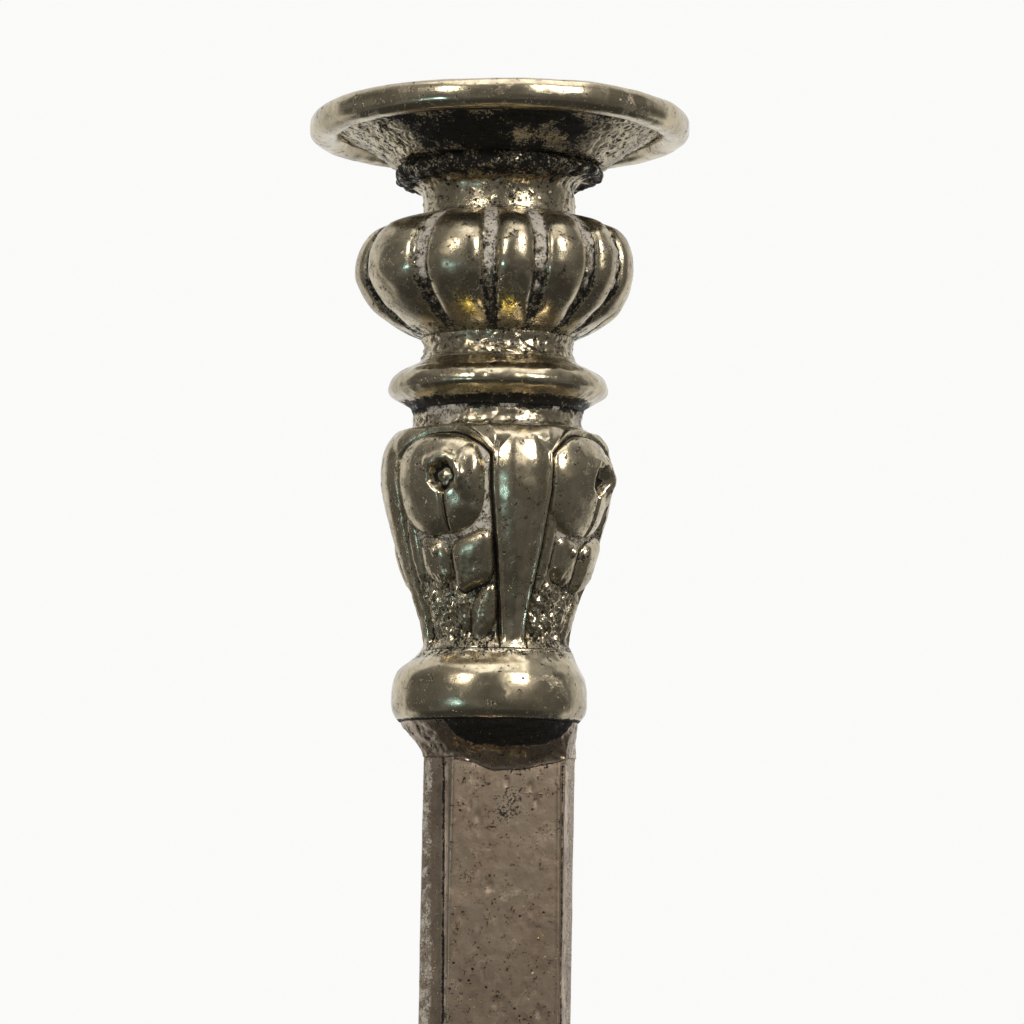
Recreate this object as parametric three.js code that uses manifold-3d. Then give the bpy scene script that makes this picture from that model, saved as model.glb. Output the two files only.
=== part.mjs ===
// A silver table candlestick, built up from castings on a steel tie rod. From the top down it has a
// loose drip-pan nozzle, a candle socket, a lobed knop, a disc moulding, a leafy baluster, a cushion
// collar, a flattened hexagonal column, a second cushion collar and a weighted round foot.
// Millimetres, +Z up. The origin is the middle of the baize under the foot, and the front is -Y.
import * as THREE from "three";
import { ConvexGeometry } from "three/addons/geometries/ConvexGeometry.js";
import { mergeVertices } from "three/addons/utils/BufferGeometryUtils.js";
import Module from "manifold-3d";

const wasm = await Module();
wasm.setup();

// ---- Driving dimensions ----

// Fits. A seam is the solder film or bedding between two castings that are stacked.
const SEAM = 0.05;
const SLIP_FIT = 0.15;
const NOZZLE_FIT = 0.25;
const BORE_OVERCUT = 1;

// Candle and its socket
const CANDLE_BORE_RADIUS = 11.1;
const SLEEVE_WALL = 0.6;
const SLEEVE_LENGTH = 26;
const SLEEVE_BEAD_WIDTH = 1.9;
const SLEEVE_BEAD_HEIGHT = 0.9;
const LINER_WALL = 0.6;
const LINER_FLOOR = 1.5;
const CANDLE_SEAT_CLEARANCE = 0.4;
const CANDLE_SEAT_RISE = 0.5;
const LINER_BOSS_RADIUS = 5;
const LINER_BOSS_LENGTH = 5.2;
const SOCKET_WALL = 1.15;
const SOCKET_HEIGHT = 9.55;
const SOCKET_LIP_RADIUS = 18.8;
const SOCKET_LIP_THICKNESS = 3.1;
const SOCKET_EDGE = 0.3;
const SOCKET_COVE_HEIGHT = 2.3;

// Drip pan
const PAN_RADIUS = 34.4;
const PAN_THICKNESS = 1.4;
const PAN_SEAT_RADIUS = 18.2;
const PAN_RISE = 5.9;
const PAN_RIM_WIRE_RADIUS = 2.8;

// Lobed knop
const KNOP_RADIUS = 25.2;
const KNOP_HEIGHT = 21.8;
const KNOP_NECK_CLEARANCE = 1.05;
const KNOP_TOP_STEP = 0.4;
const KNOP_FLOOR = 2.4;
const KNOP_WALL = 2.2;
const KNOP_GROOVE_DEPTH = 1.5;
const GROOVE_RUN_OUT = 1.3;
const GROOVE_RAMP = 2.2;
// Where the grooves between the lobes lie, in degrees round from the front. The lobes were filed by
// eye, so they differ, and one is much wider than the rest.
const KNOP_GROOVES = [-47.5, -18.4, 4.9, 31.1, 51.7, 75, 100, 125, 150, 175, 200, 224, 248, 273];
const SIDES_PER_LOBE = 4;

// Turned mouldings between the knop and the baluster
const KNOP_STEM_HEIGHT = 4;
const KNOP_STEM_WAIST = 0.4;
const MOULDING_FILLET = 0.6;
const DISC_HEIGHT = 9.3;
const DISC_RADIUS = 19.7;
const DISC_EDGE = 0.55;
const SHOULDER_HEIGHT = 3.6;
const SHOULDER_RADIUS = 15.2;

// Baluster
const BALUSTER_HEIGHT = 39.6;
const BALUSTER_RADIUS = 21;
const BALUSTER_WAIST_RADIUS = 13.2;
const BALUSTER_WALL = 2.4;
const BALUSTER_WEB = 3;
const BALUSTER_BAYS = 4;
const LEAF_RELIEF = 0.9;
const RIB_RELIEF = 0.7;
// Shares of a half bay that a rib and a leaf fill, and of the height where a leaf lies
const RIB_SHARE = 0.3;
const LEAF_SHARE = 0.62;
const LEAF_MIDDLE = 0.55;
const LEAF_HALF_LENGTH = 0.42;

// Cushion collars at both ends of the column
const COLLAR_HEIGHT = 12.6;
const COLLAR_RADIUS = 17.5;
const COLLAR_BULGE = 1.6;

// Column: a hexagon with wide front and back faces and narrow sloping sides
const COLUMN_LENGTH = 117;
const COLUMN_WIDTH = 28;
const COLUMN_DEPTH = 14.5;
const COLUMN_FACE = 20.5;
const COLUMN_WALL = 1.4;
const COLUMN_END_HEIGHT = 5.9;
const COLUMN_END_RADIUS = 16.4;
const COLUMN_PLUG = 5;

// Foot
const FOOT_RADIUS = 59;
const FOOT_RIM_HEIGHT = 5.6;
const FOOT_RIM_WIDTH = 4.4;
const RIM_BULGE = 1.2;
const FOOT_BORDER_HEIGHT = 10.2;
const FOOT_BORDER_INNER_RADIUS = 47;
const BORDER_SETBACK = 1.4;
const BORDER_WALL = 4.6;
const FOOT_BORDER_LOBES = 24;
const FOOT_GROOVE_DEPTH = 1.3;
const SIDES_PER_FOOT_LOBE = 3;
const FOOT_STEP_HEIGHT = 7.8;
const FOOT_DOME_RADIUS = 38;
const FOOT_DOME_HEIGHT = 25;
const FOOT_NECK_RADIUS = 13.8;
const FOOT_WALL = 1.8;
const DOME_WALL = 2.35;
const STEP_COVE = 5;
const STEP_BEAD = 1.6;

// Weight, closing disc and baize
const WEIGHT_GAP = 1.2;
const BAIZE_THICKNESS = 1.5;
const BAIZE_INSET = 0.8;
const FOOT_STAND_OFF = 0.4;
const PLUG_INSET = 3.4;
const DISC_PLUG_HEIGHT = 2.6;
const COUNTERBORE_RADIUS = 7.2;

// Tie rod and its fasteners
const ROD_RADIUS = 2.5;
const ROD_TIP_GAP = 0.6;
const ROD_HOLE_RADIUS = 2.9;
const NUT_ACROSS_FLATS = 8;
const NUT_THICKNESS = 2.4;
const THREAD_FIT = 0.1;
const WASHER_RADIUS = 6;
const WASHER_THICKNESS = 1;
const ROD_END_STAND_OUT = 0.1;

// Spigots that hold the stacked castings on one axis
const SPIGOT_RADIUS = 8;
const SPIGOT_HEIGHT = 1.2;

const ROUND_SIDES = 24;
const SMALL_SIDES = 16;
const BALUSTER_SIDES = 40;

// ---- Levels, from the foot upwards ----

const rimLevel = FOOT_STAND_OFF;
const borderLevel = rimLevel + FOOT_RIM_HEIGHT;
const stepLevel = borderLevel + FOOT_BORDER_HEIGHT;
const domeLevel = stepLevel + FOOT_STEP_HEIGHT;
const lowerCollarLevel = domeLevel + FOOT_DOME_HEIGHT;
const columnFootLevel = lowerCollarLevel + COLLAR_HEIGHT;
const columnLevel = columnFootLevel + COLUMN_END_HEIGHT;
const columnHeadLevel = columnLevel + COLUMN_LENGTH;
const upperCollarLevel = columnHeadLevel + COLUMN_END_HEIGHT;
const balusterLevel = upperCollarLevel + COLLAR_HEIGHT;
const shoulderLevel = balusterLevel + BALUSTER_HEIGHT;
const discLevel = shoulderLevel + SHOULDER_HEIGHT;
const knopStemLevel = discLevel + DISC_HEIGHT;
const knopLevel = knopStemLevel + KNOP_STEM_HEIGHT;
const socketLevel = knopLevel + KNOP_HEIGHT;
const panLevel = socketLevel + SOCKET_HEIGHT;

// ---- Radii that follow from the fits ----

const sleeveRadius = CANDLE_BORE_RADIUS + SLEEVE_WALL;
const linerBoreRadius = sleeveRadius + NOZZLE_FIT;
const linerRadius = linerBoreRadius + LINER_WALL;
const socketBoreRadius = linerRadius + SLIP_FIT;
const socketRadius = socketBoreRadius + SOCKET_WALL;
const bossHoleRadius = LINER_BOSS_RADIUS + SLIP_FIT;
const knopNeckRadius = linerRadius + KNOP_NECK_CLEARANCE;
const stemFootRadius = knopNeckRadius + KNOP_STEM_WAIST;
const balusterFootRadius = BALUSTER_WAIST_RADIUS + MOULDING_FILLET;
const spigotHoleRadius = SPIGOT_RADIUS + SLIP_FIT;
const spigotHoleDepth = SPIGOT_HEIGHT + SEAM;
const closingRadius = FOOT_RADIUS - FOOT_RIM_WIDTH - SLIP_FIT;

// ---- Levels that follow from the fits ----

const linerFloorLevel = knopLevel + KNOP_FLOOR + SEAM;
const baizeTop = BAIZE_THICKNESS + SEAM;
const rodBottom = baizeTop + ROD_END_STAND_OUT;
const nutLevel = rodBottom + ROD_END_STAND_OUT;
const washerLevel = nutLevel + NUT_THICKNESS + SEAM;
const counterboreTop = washerLevel + WASHER_THICKNESS + SEAM;
const rodTop = linerFloorLevel + LINER_FLOOR - 2 * ROD_TIP_GAP - SEAM;

// ---- Finishes ----

const silver = new THREE.MeshStandardMaterial({ color: 0xb3aa9b, roughness: 0.28, metalness: 1 });
const castSilver = new THREE.MeshStandardMaterial({ color: 0x9c9283, roughness: 0.36, metalness: 1 });
const tinnedBrass = new THREE.MeshStandardMaterial({ color: 0xb59a5c, roughness: 0.45, metalness: 1 });
const steel = new THREE.MeshStandardMaterial({ color: 0x777879, roughness: 0.5, metalness: 1 });
const plaster = new THREE.MeshStandardMaterial({ color: 0xcfc8b8, roughness: 0.95, metalness: 0 });
const beech = new THREE.MeshStandardMaterial({ color: 0xb48a5c, roughness: 0.7, metalness: 0 });
const baize = new THREE.MeshStandardMaterial({ color: 0x1f4a30, roughness: 1, metalness: 0 });

// ---- Helpers ----

/** A solid of revolution about Z. The profile is a list of [radius, height]. */
function turned(profile, sides = ROUND_SIDES) {
  const points = profile.map(([radius, height]) => new THREE.Vector2(radius, height));
  return new THREE.LatheGeometry(points, sides).rotateX(Math.PI / 2);
}

/** A turned ring: its profile is closed by going back to the first point. */
function turnedRing(profile, sides = ROUND_SIDES) {
  return turned([...profile, profile[0]], sides);
}

/** Points [radius, height] of a smooth line through the given ones. */
function smooth(through, steps) {
  const line = new THREE.SplineCurve(through.map(([r, h]) => new THREE.Vector2(r, h)));
  return line.getPoints(steps).map((p) => [p.x, p.y]);
}

/** Points [radius, height] of a round bulge between two ends on one upright line, pushed out by reach. */
function bulge(radius, bottom, top, reach, steps) {
  const points = [];
  for (let i = 0; i <= steps; i++) {
    const turn = (i / steps - 0.5) * Math.PI;
    const middle = (bottom + top) / 2;
    points.push([radius + reach * Math.cos(turn), middle + ((top - bottom) / 2) * Math.sin(turn)]);
  }
  return points;
}

/** The profile moved outwards by a distance, which is negative for inwards. */
function movedOut(profile, distance) {
  return profile.map(([radius, height]) => [radius + distance, height]);
}

/** A closed geometry as a solid that can be cut. */
function solidOf(geometry) {
  const bare = new THREE.BufferGeometry();
  bare.setAttribute("position", geometry.getAttribute("position"));
  bare.setIndex(geometry.index);
  const merged = mergeVertices(bare, 1e-4);
  return new wasm.Manifold(
    new wasm.Mesh({
      numProp: 3,
      vertProperties: new Float32Array(merged.attributes.position.array),
      triVerts: new Uint32Array(merged.index.array),
    }),
  );
}

/** A solid as a geometry that a mesh can hold. */
function geometryOf(solid) {
  const { vertProperties, triVerts } = solid.getMesh();
  const geometry = new THREE.BufferGeometry();
  geometry.setAttribute("position", new THREE.BufferAttribute(vertProperties, 3));
  geometry.setIndex(new THREE.BufferAttribute(triVerts, 1));
  geometry.computeVertexNormals();
  return geometry;
}

/** A round bar along Z from one height to another. */
function bar(radius, from, to, sides = SMALL_SIDES) {
  const length = to - from;
  const geometry = new THREE.CylinderGeometry(radius, radius, length, sides);
  return geometry.rotateX(Math.PI / 2).translate(0, 0, from + length / 2);
}

/** The piece with an upright round hole through all of it. */
function bored(geometry, radius, from, to) {
  const drill = bar(radius, from - BORE_OVERCUT, to + BORE_OVERCUT);
  return geometryOf(solidOf(geometry).subtract(solidOf(drill)));
}

/**
 * A stacked casting on the tie rod: a turned outline with a rod hole, a spigot on top for the piece
 * above and a recess below for the spigot of the piece under it. Its top stops a seam short.
 */
function stackedCasting(outline, { height, hole = ROD_HOLE_RADIUS, spigot = true, recess = true }) {
  const top = height - SEAM;
  const start = recess
    ? [
        [hole, spigotHoleDepth],
        [spigotHoleRadius, spigotHoleDepth],
        [spigotHoleRadius, 0],
      ]
    : [[hole, 0]];
  const end = spigot
    ? [
        [SPIGOT_RADIUS, top],
        [SPIGOT_RADIUS, height + SPIGOT_HEIGHT - SEAM],
        [hole, height + SPIGOT_HEIGHT - SEAM],
      ]
    : [[hole, top]];
  return turnedRing([...start, ...outline, ...end]);
}

/** A named mesh at a level on the axis. */
function piece(name, geometry, material, level = 0) {
  const mesh = new THREE.Mesh(geometry, material);
  mesh.name = name;
  mesh.position.z = level;
  return mesh;
}

/** Moves a turned geometry's points to lobes of their own widths, with a groove between each two. */
function lobed(geometry, grooves, sidesPerLobe, depthAt) {
  const position = geometry.getAttribute("position");
  const count = grooves.length;
  const step = (2 * Math.PI) / (count * sidesPerLobe);
  for (let i = 0; i < position.count; i++) {
    const radius = Math.hypot(position.getX(i), position.getY(i));
    const even = Math.atan2(position.getX(i), -position.getY(i));
    const side = Math.round(even / step + count * sidesPerLobe) % (count * sidesPerLobe);
    const lobe = Math.floor(side / sidesPerLobe);
    const share = (side % sidesPerLobe) / sidesPerLobe;
    const from = grooves[lobe];
    const to = lobe + 1 < count ? grooves[lobe + 1] : grooves[0] + 360;
    const angle = THREE.MathUtils.degToRad(from + (to - from) * share);
    const swell = Math.sqrt(Math.sin(Math.PI * share));
    const moved = radius - depthAt(radius, position.getZ(i)) * (1 - swell);
    position.setXY(i, moved * Math.sin(angle), -moved * Math.cos(angle));
  }
  return geometry;
}

// ---- Nozzle ----

/** The dished pan. It stands on the socket's lip, and its underside rises to the rim wire. */
function nozzlePan() {
  const rimInner = PAN_RADIUS - 2 * PAN_RIM_WIRE_RADIUS - SEAM;
  const holeRadius = sleeveRadius + SEAM;
  const wireMiddle = PAN_RISE + PAN_THICKNESS;
  const underside = smooth(
    [
      [PAN_SEAT_RADIUS, 0],
      [(PAN_SEAT_RADIUS + rimInner) / 2, PAN_RISE * 0.55],
      [rimInner, wireMiddle - PAN_THICKNESS / 2],
    ],
    4,
  );
  const topside = underside.map(([radius, height]) => [radius, height + PAN_THICKNESS]).reverse();
  return turnedRing([[holeRadius, 0], ...underside, ...topside, [holeRadius, PAN_THICKNESS]]);
}

/** The round wire that stiffens the pan's edge. */
function nozzleRim() {
  const middle = PAN_RADIUS - PAN_RIM_WIRE_RADIUS;
  const outline = [];
  for (let i = 0; i < 10; i++) {
    const turn = (i / 10) * 2 * Math.PI;
    outline.push([
      middle + PAN_RIM_WIRE_RADIUS * Math.cos(turn),
      PAN_RISE + PAN_THICKNESS + PAN_RIM_WIRE_RADIUS * Math.sin(turn),
    ]);
  }
  return turnedRing(outline);
}

/** The candle tube, with a bead that lies on the pan round its mouth. */
function nozzleSleeve() {
  const beadBottom = PAN_THICKNESS + SEAM;
  const beadTop = beadBottom + SLEEVE_BEAD_HEIGHT;
  return turnedRing([
    [CANDLE_BORE_RADIUS, -SLEEVE_LENGTH],
    [sleeveRadius, -SLEEVE_LENGTH],
    [sleeveRadius, beadBottom],
    [sleeveRadius + SLEEVE_BEAD_WIDTH, beadBottom],
    [sleeveRadius + SLEEVE_BEAD_WIDTH * 0.6, beadTop],
    [CANDLE_BORE_RADIUS, beadTop],
  ]);
}

// ---- Socket and knop ----

/** The socket's neck, with the rounded lip that the pan stands on. */
function candleSocket() {
  const top = SOCKET_HEIGHT - SEAM;
  const lipBottom = top - SOCKET_LIP_THICKNESS;
  const coveBottom = lipBottom - SOCKET_COVE_HEIGHT;
  return turnedRing([
    [socketBoreRadius, 0],
    [socketRadius, 0],
    [socketRadius, coveBottom],
    [(socketRadius + SOCKET_LIP_RADIUS) / 2, lipBottom - SOCKET_COVE_HEIGHT * 0.3],
    ...bulge(SOCKET_LIP_RADIUS - MOULDING_FILLET, lipBottom, top - SOCKET_EDGE, MOULDING_FILLET, 3),
    [PAN_SEAT_RADIUS - MOULDING_FILLET, top],
    [socketBoreRadius, top],
  ]);
}

/** The cup inside the socket. The candle stands on its raised floor; the tie rod screws into its boss. */
function socketLiner() {
  const mouth = panLevel - SEAM - linerFloorLevel;
  const seatRadius = CANDLE_BORE_RADIUS - CANDLE_SEAT_CLEARANCE;
  const hole = ROD_RADIUS + THREAD_FIT;
  const holeTop = LINER_FLOOR - ROD_TIP_GAP - SEAM;
  return turned([
    [0, holeTop],
    [hole, holeTop],
    [hole, -LINER_BOSS_LENGTH],
    [LINER_BOSS_RADIUS, -LINER_BOSS_LENGTH],
    [LINER_BOSS_RADIUS, 0],
    [linerRadius, 0],
    [linerRadius, mouth],
    [linerBoreRadius, mouth],
    [linerBoreRadius, LINER_FLOOR - CANDLE_SEAT_RISE],
    [seatRadius, LINER_FLOOR - CANDLE_SEAT_RISE],
    [seatRadius, LINER_FLOOR],
    [0, LINER_FLOOR],
  ]);
}

/** Height and radius of the knop's outside, lobes left out, from its foot to its neck. */
function knopOutline(steps) {
  return smooth(
    [
      [knopNeckRadius, 0],
      [KNOP_RADIUS * 0.78, KNOP_HEIGHT * 0.165],
      [KNOP_RADIUS * 0.955, KNOP_HEIGHT * 0.36],
      [KNOP_RADIUS, KNOP_HEIGHT * 0.57],
      [KNOP_RADIUS * 0.955, KNOP_HEIGHT * 0.82],
      [KNOP_RADIUS * 0.82, KNOP_HEIGHT * 0.95],
      [socketRadius + KNOP_TOP_STEP, KNOP_HEIGHT - SEAM],
    ],
    steps,
  );
}

/** The hollow lobed bulb, open at the top for the liner and floored at the bottom. */
function lobedKnop() {
  const outside = turned(
    [[0, 0], ...knopOutline(8), [0, KNOP_HEIGHT - SEAM]],
    KNOP_GROOVES.length * SIDES_PER_LOBE,
  );
  const depthAt = (radius, height) => {
    if (radius < knopNeckRadius + MOULDING_FILLET) return 0;
    const inFromEnds = Math.min(height, KNOP_HEIGHT - height) - GROOVE_RUN_OUT;
    return KNOP_GROOVE_DEPTH * THREE.MathUtils.clamp(inFromEnds / GROOVE_RAMP, 0, 1);
  };
  lobed(outside, KNOP_GROOVES, SIDES_PER_LOBE, depthAt);
  const chamberRadius = KNOP_RADIUS - KNOP_GROOVE_DEPTH - KNOP_WALL;
  const shoulder = KNOP_HEIGHT * 0.8;
  const mouth = KNOP_HEIGHT + BORE_OVERCUT;
  const chamber = turned([
    [0, KNOP_FLOOR],
    [knopNeckRadius, KNOP_FLOOR],
    [chamberRadius, KNOP_HEIGHT * 0.4],
    [chamberRadius, shoulder],
    [socketBoreRadius, shoulder + SOCKET_WALL],
    [socketBoreRadius, mouth],
    [0, mouth],
  ]);
  const recess = bar(spigotHoleRadius, -BORE_OVERCUT, spigotHoleDepth);
  const bossHole = bar(bossHoleRadius, -BORE_OVERCUT, KNOP_FLOOR + BORE_OVERCUT);
  return geometryOf(
    solidOf(outside).subtract(solidOf(chamber)).subtract(solidOf(recess)).subtract(solidOf(bossHole)),
  );
}

/** The short waisted neck under the knop. */
function knopStem() {
  const top = KNOP_STEM_HEIGHT - SEAM;
  const waist = knopNeckRadius - KNOP_STEM_WAIST;
  return stackedCasting(
    [
      [stemFootRadius, 0],
      [waist, KNOP_STEM_HEIGHT * 0.35],
      [waist, KNOP_STEM_HEIGHT * 0.7],
      [knopNeckRadius, top],
    ],
    { height: KNOP_STEM_HEIGHT, hole: bossHoleRadius },
  );
}

/** The disc moulding: a sloping top side, a thin rounded edge and an undercut. */
function discMoulding() {
  const edge = DISC_HEIGHT * 0.42;
  return stackedCasting(
    [
      [SHOULDER_RADIUS, 0],
      [SHOULDER_RADIUS + MOULDING_FILLET, DISC_HEIGHT * 0.12],
      [DISC_RADIUS * 0.92, DISC_HEIGHT * 0.25],
      [DISC_RADIUS * 0.99, edge - DISC_EDGE],
      [DISC_RADIUS, edge],
      [DISC_RADIUS * 0.985, edge + DISC_EDGE],
      [DISC_RADIUS * 0.89, DISC_HEIGHT * 0.66],
      [stemFootRadius + 2 * MOULDING_FILLET, DISC_HEIGHT * 0.86],
      [stemFootRadius, DISC_HEIGHT - SEAM],
    ],
    { height: DISC_HEIGHT },
  );
}

/** The plain ring between the disc moulding and the baluster. */
function shoulderRing() {
  return stackedCasting(
    [
      [SHOULDER_RADIUS + MOULDING_FILLET, 0],
      [SHOULDER_RADIUS, SHOULDER_HEIGHT * 0.5],
      [SHOULDER_RADIUS, SHOULDER_HEIGHT - SEAM],
    ],
    { height: SHOULDER_HEIGHT },
  );
}

// ---- Baluster ----

/** Height and radius of the baluster's outside, its leaves left out, from its waist to its shoulder. */
function balusterOutline(steps) {
  return smooth(
    [
      [balusterFootRadius, 0],
      [BALUSTER_WAIST_RADIUS, BALUSTER_HEIGHT * 0.06],
      [BALUSTER_RADIUS * 0.77, BALUSTER_HEIGHT * 0.29],
      [BALUSTER_RADIUS * 0.91, BALUSTER_HEIGHT * 0.53],
      [BALUSTER_RADIUS, BALUSTER_HEIGHT * 0.8],
      [BALUSTER_RADIUS * 0.95, BALUSTER_HEIGHT * 0.92],
      [SHOULDER_RADIUS + MOULDING_FILLET, BALUSTER_HEIGHT - SEAM],
    ],
    steps,
  );
}

/** How far the leaves and ribs stand out at an angle and a height. Leaves fill the bays between ribs. */
function balusterRelief(angle, height) {
  const bay = (2 * Math.PI) / BALUSTER_BAYS;
  const fromRib = Math.abs(angle / bay - Math.round(angle / bay)) * 2;
  const rib = Math.max(0, 1 - fromRib / RIB_SHARE) * RIB_RELIEF;
  const across = (1 - fromRib) / LEAF_SHARE;
  const along = (height / BALUSTER_HEIGHT - LEAF_MIDDLE) / LEAF_HALF_LENGTH;
  const leaf = Math.max(0, 1 - across ** 2 - along ** 4) * LEAF_RELIEF;
  return Math.max(rib, leaf);
}

/** The hollow leafy vase. */
function baluster() {
  const outside = turned([[0, 0], ...balusterOutline(11), [0, BALUSTER_HEIGHT - SEAM]], BALUSTER_SIDES);
  const position = outside.getAttribute("position");
  const reliefMost = Math.max(LEAF_RELIEF, RIB_RELIEF);
  for (let i = 0; i < position.count; i++) {
    const radius = Math.hypot(position.getX(i), position.getY(i));
    const height = position.getZ(i);
    const onEnd = height < BALUSTER_HEIGHT * 0.05 || height > BALUSTER_HEIGHT * 0.97;
    if (onEnd || radius < BALUSTER_WAIST_RADIUS / 2) continue;
    const relief = balusterRelief(Math.atan2(position.getX(i), -position.getY(i)), height);
    const scale = (radius + relief - reliefMost) / radius;
    position.setXY(i, position.getX(i) * scale, position.getY(i) * scale);
  }
  const inside = movedOut(balusterOutline(6).slice(1, -1), -BALUSTER_WALL - reliefMost);
  const lowest = BALUSTER_WEB + SPIGOT_HEIGHT;
  const highest = BALUSTER_HEIGHT - BALUSTER_WEB - SPIGOT_HEIGHT;
  const wall = inside.filter(([, height]) => height > lowest && height < highest);
  const chamber = turned([
    [0, lowest],
    [BALUSTER_WAIST_RADIUS - BALUSTER_WALL - reliefMost, lowest],
    ...wall,
    [SHOULDER_RADIUS - BALUSTER_WALL, highest],
    [0, highest],
  ]);
  const recess = bar(spigotHoleRadius, -BORE_OVERCUT, spigotHoleDepth);
  const spigot = bar(SPIGOT_RADIUS, BALUSTER_HEIGHT - BORE_OVERCUT, BALUSTER_HEIGHT + SPIGOT_HEIGHT - SEAM);
  const body = solidOf(outside).add(solidOf(spigot)).subtract(solidOf(chamber)).subtract(solidOf(recess));
  return bored(geometryOf(body), ROD_HOLE_RADIUS, 0, BALUSTER_HEIGHT + SPIGOT_HEIGHT);
}

// ---- Collars and column ----

/** A fat cushion moulding. Its narrow side meets neckRadius, and its wide side meets the column end. */
function cushionCollar(neckRadius, { neckAtTop }) {
  const top = COLLAR_HEIGHT - SEAM;
  const side = COLLAR_RADIUS - COLLAR_BULGE;
  const belly = bulge(side, COLLAR_HEIGHT * 0.2, COLLAR_HEIGHT * 0.66, COLLAR_BULGE, 4);
  const upright = [
    [COLUMN_END_RADIUS, 0],
    ...belly,
    [side - COLLAR_BULGE, COLLAR_HEIGHT * 0.82],
    [neckRadius, top],
  ];
  const turnedOver = upright.map(([radius, height]) => [radius, top - height]).reverse();
  return stackedCasting(neckAtTop ? upright : turnedOver, { height: COLLAR_HEIGHT });
}

/** The corners of the column's hexagon, shrunk on all sides by a wall or a clearance. */
function columnCorners(inset = 0) {
  const slopeWidth = (COLUMN_WIDTH - COLUMN_FACE) / 2;
  const slope = Math.atan2(COLUMN_DEPTH / 2, slopeWidth);
  const halfDepth = COLUMN_DEPTH / 2 - inset;
  const halfWidth = COLUMN_WIDTH / 2 - inset / Math.sin(slope);
  const halfFace = halfWidth - halfDepth / Math.tan(slope);
  return [
    [halfWidth, 0],
    [halfFace, halfDepth],
    [-halfFace, halfDepth],
    [-halfWidth, 0],
    [-halfFace, -halfDepth],
    [halfFace, -halfDepth],
  ].map(([x, y]) => new THREE.Vector2(x, y));
}

/** The hollow column. */
function columnTube() {
  const section = new THREE.Shape(columnCorners());
  section.holes.push(new THREE.Path(columnCorners(COLUMN_WALL)));
  return new THREE.ExtrudeGeometry(section, { depth: COLUMN_LENGTH - 2 * SEAM, bevelEnabled: false });
}

/**
 * The piece between a round collar and the column: its sides run from a circle to the hexagon, and a
 * plug holds it in the column. The head has its circle on top, and the foot is the same turned over.
 */
function columnEnd({ circleOnTop }) {
  const points = columnCorners().map(({ x, y }) => new THREE.Vector3(x, y, 0));
  for (let i = 0; i < ROUND_SIDES; i++) {
    const turn = (i / ROUND_SIDES) * 2 * Math.PI;
    const x = COLUMN_END_RADIUS * Math.cos(turn);
    const y = COLUMN_END_RADIUS * Math.sin(turn);
    points.push(new THREE.Vector3(x, y, COLUMN_END_HEIGHT - SEAM));
  }
  const flare = new ConvexGeometry(points);
  const plug = new THREE.ExtrudeGeometry(new THREE.Shape(columnCorners(COLUMN_WALL + SLIP_FIT)), {
    depth: COLUMN_PLUG + BORE_OVERCUT,
    bevelEnabled: false,
  }).translate(0, 0, -COLUMN_PLUG);
  let body = solidOf(flare).add(solidOf(plug));
  if (circleOnTop) {
    const spigot = bar(SPIGOT_RADIUS, BORE_OVERCUT, COLUMN_END_HEIGHT + SPIGOT_HEIGHT - SEAM);
    body = body.add(solidOf(spigot));
  } else {
    const recessTop = COLUMN_END_HEIGHT - SPIGOT_HEIGHT - 2 * SEAM;
    const recess = bar(spigotHoleRadius, recessTop, COLUMN_END_HEIGHT + BORE_OVERCUT);
    body = body.subtract(solidOf(recess));
  }
  const reach = COLUMN_END_HEIGHT + SPIGOT_HEIGHT;
  const end = bored(geometryOf(body), ROD_HOLE_RADIUS, -COLUMN_PLUG, reach);
  return circleOnTop ? end : end.rotateX(Math.PI).translate(0, 0, COLUMN_END_HEIGHT - SEAM);
}

// ---- Foot ----

/** The dome's outside, from the step up to the neck. */
function domeOutline(steps) {
  return smooth(
    [
      [FOOT_DOME_RADIUS, 0],
      [FOOT_DOME_RADIUS * 0.93, FOOT_DOME_HEIGHT * 0.16],
      [FOOT_DOME_RADIUS * 0.66, FOOT_DOME_HEIGHT * 0.38],
      [FOOT_DOME_RADIUS * 0.46, FOOT_DOME_HEIGHT * 0.66],
      [FOOT_NECK_RADIUS, FOOT_DOME_HEIGHT - SEAM],
    ],
    steps,
  );
}

/** The raised dome of the foot. Its web at the top carries the stack. */
function footDome() {
  const outside = domeOutline(9);
  const top = FOOT_DOME_HEIGHT - SEAM;
  const webBottom = top - 2 * FOOT_WALL;
  const wall = movedOut(outside, -DOME_WALL).filter(([, height]) => height < webBottom - FOOT_WALL);
  const throat = wall[wall.length - 1][0] - FOOT_WALL / 2;
  return turnedRing([
    ...outside,
    [SPIGOT_RADIUS, top],
    [SPIGOT_RADIUS, top + SPIGOT_HEIGHT],
    [ROD_HOLE_RADIUS, top + SPIGOT_HEIGHT],
    [ROD_HOLE_RADIUS, webBottom],
    [throat, webBottom],
    ...wall.reverse(),
  ]);
}

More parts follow.
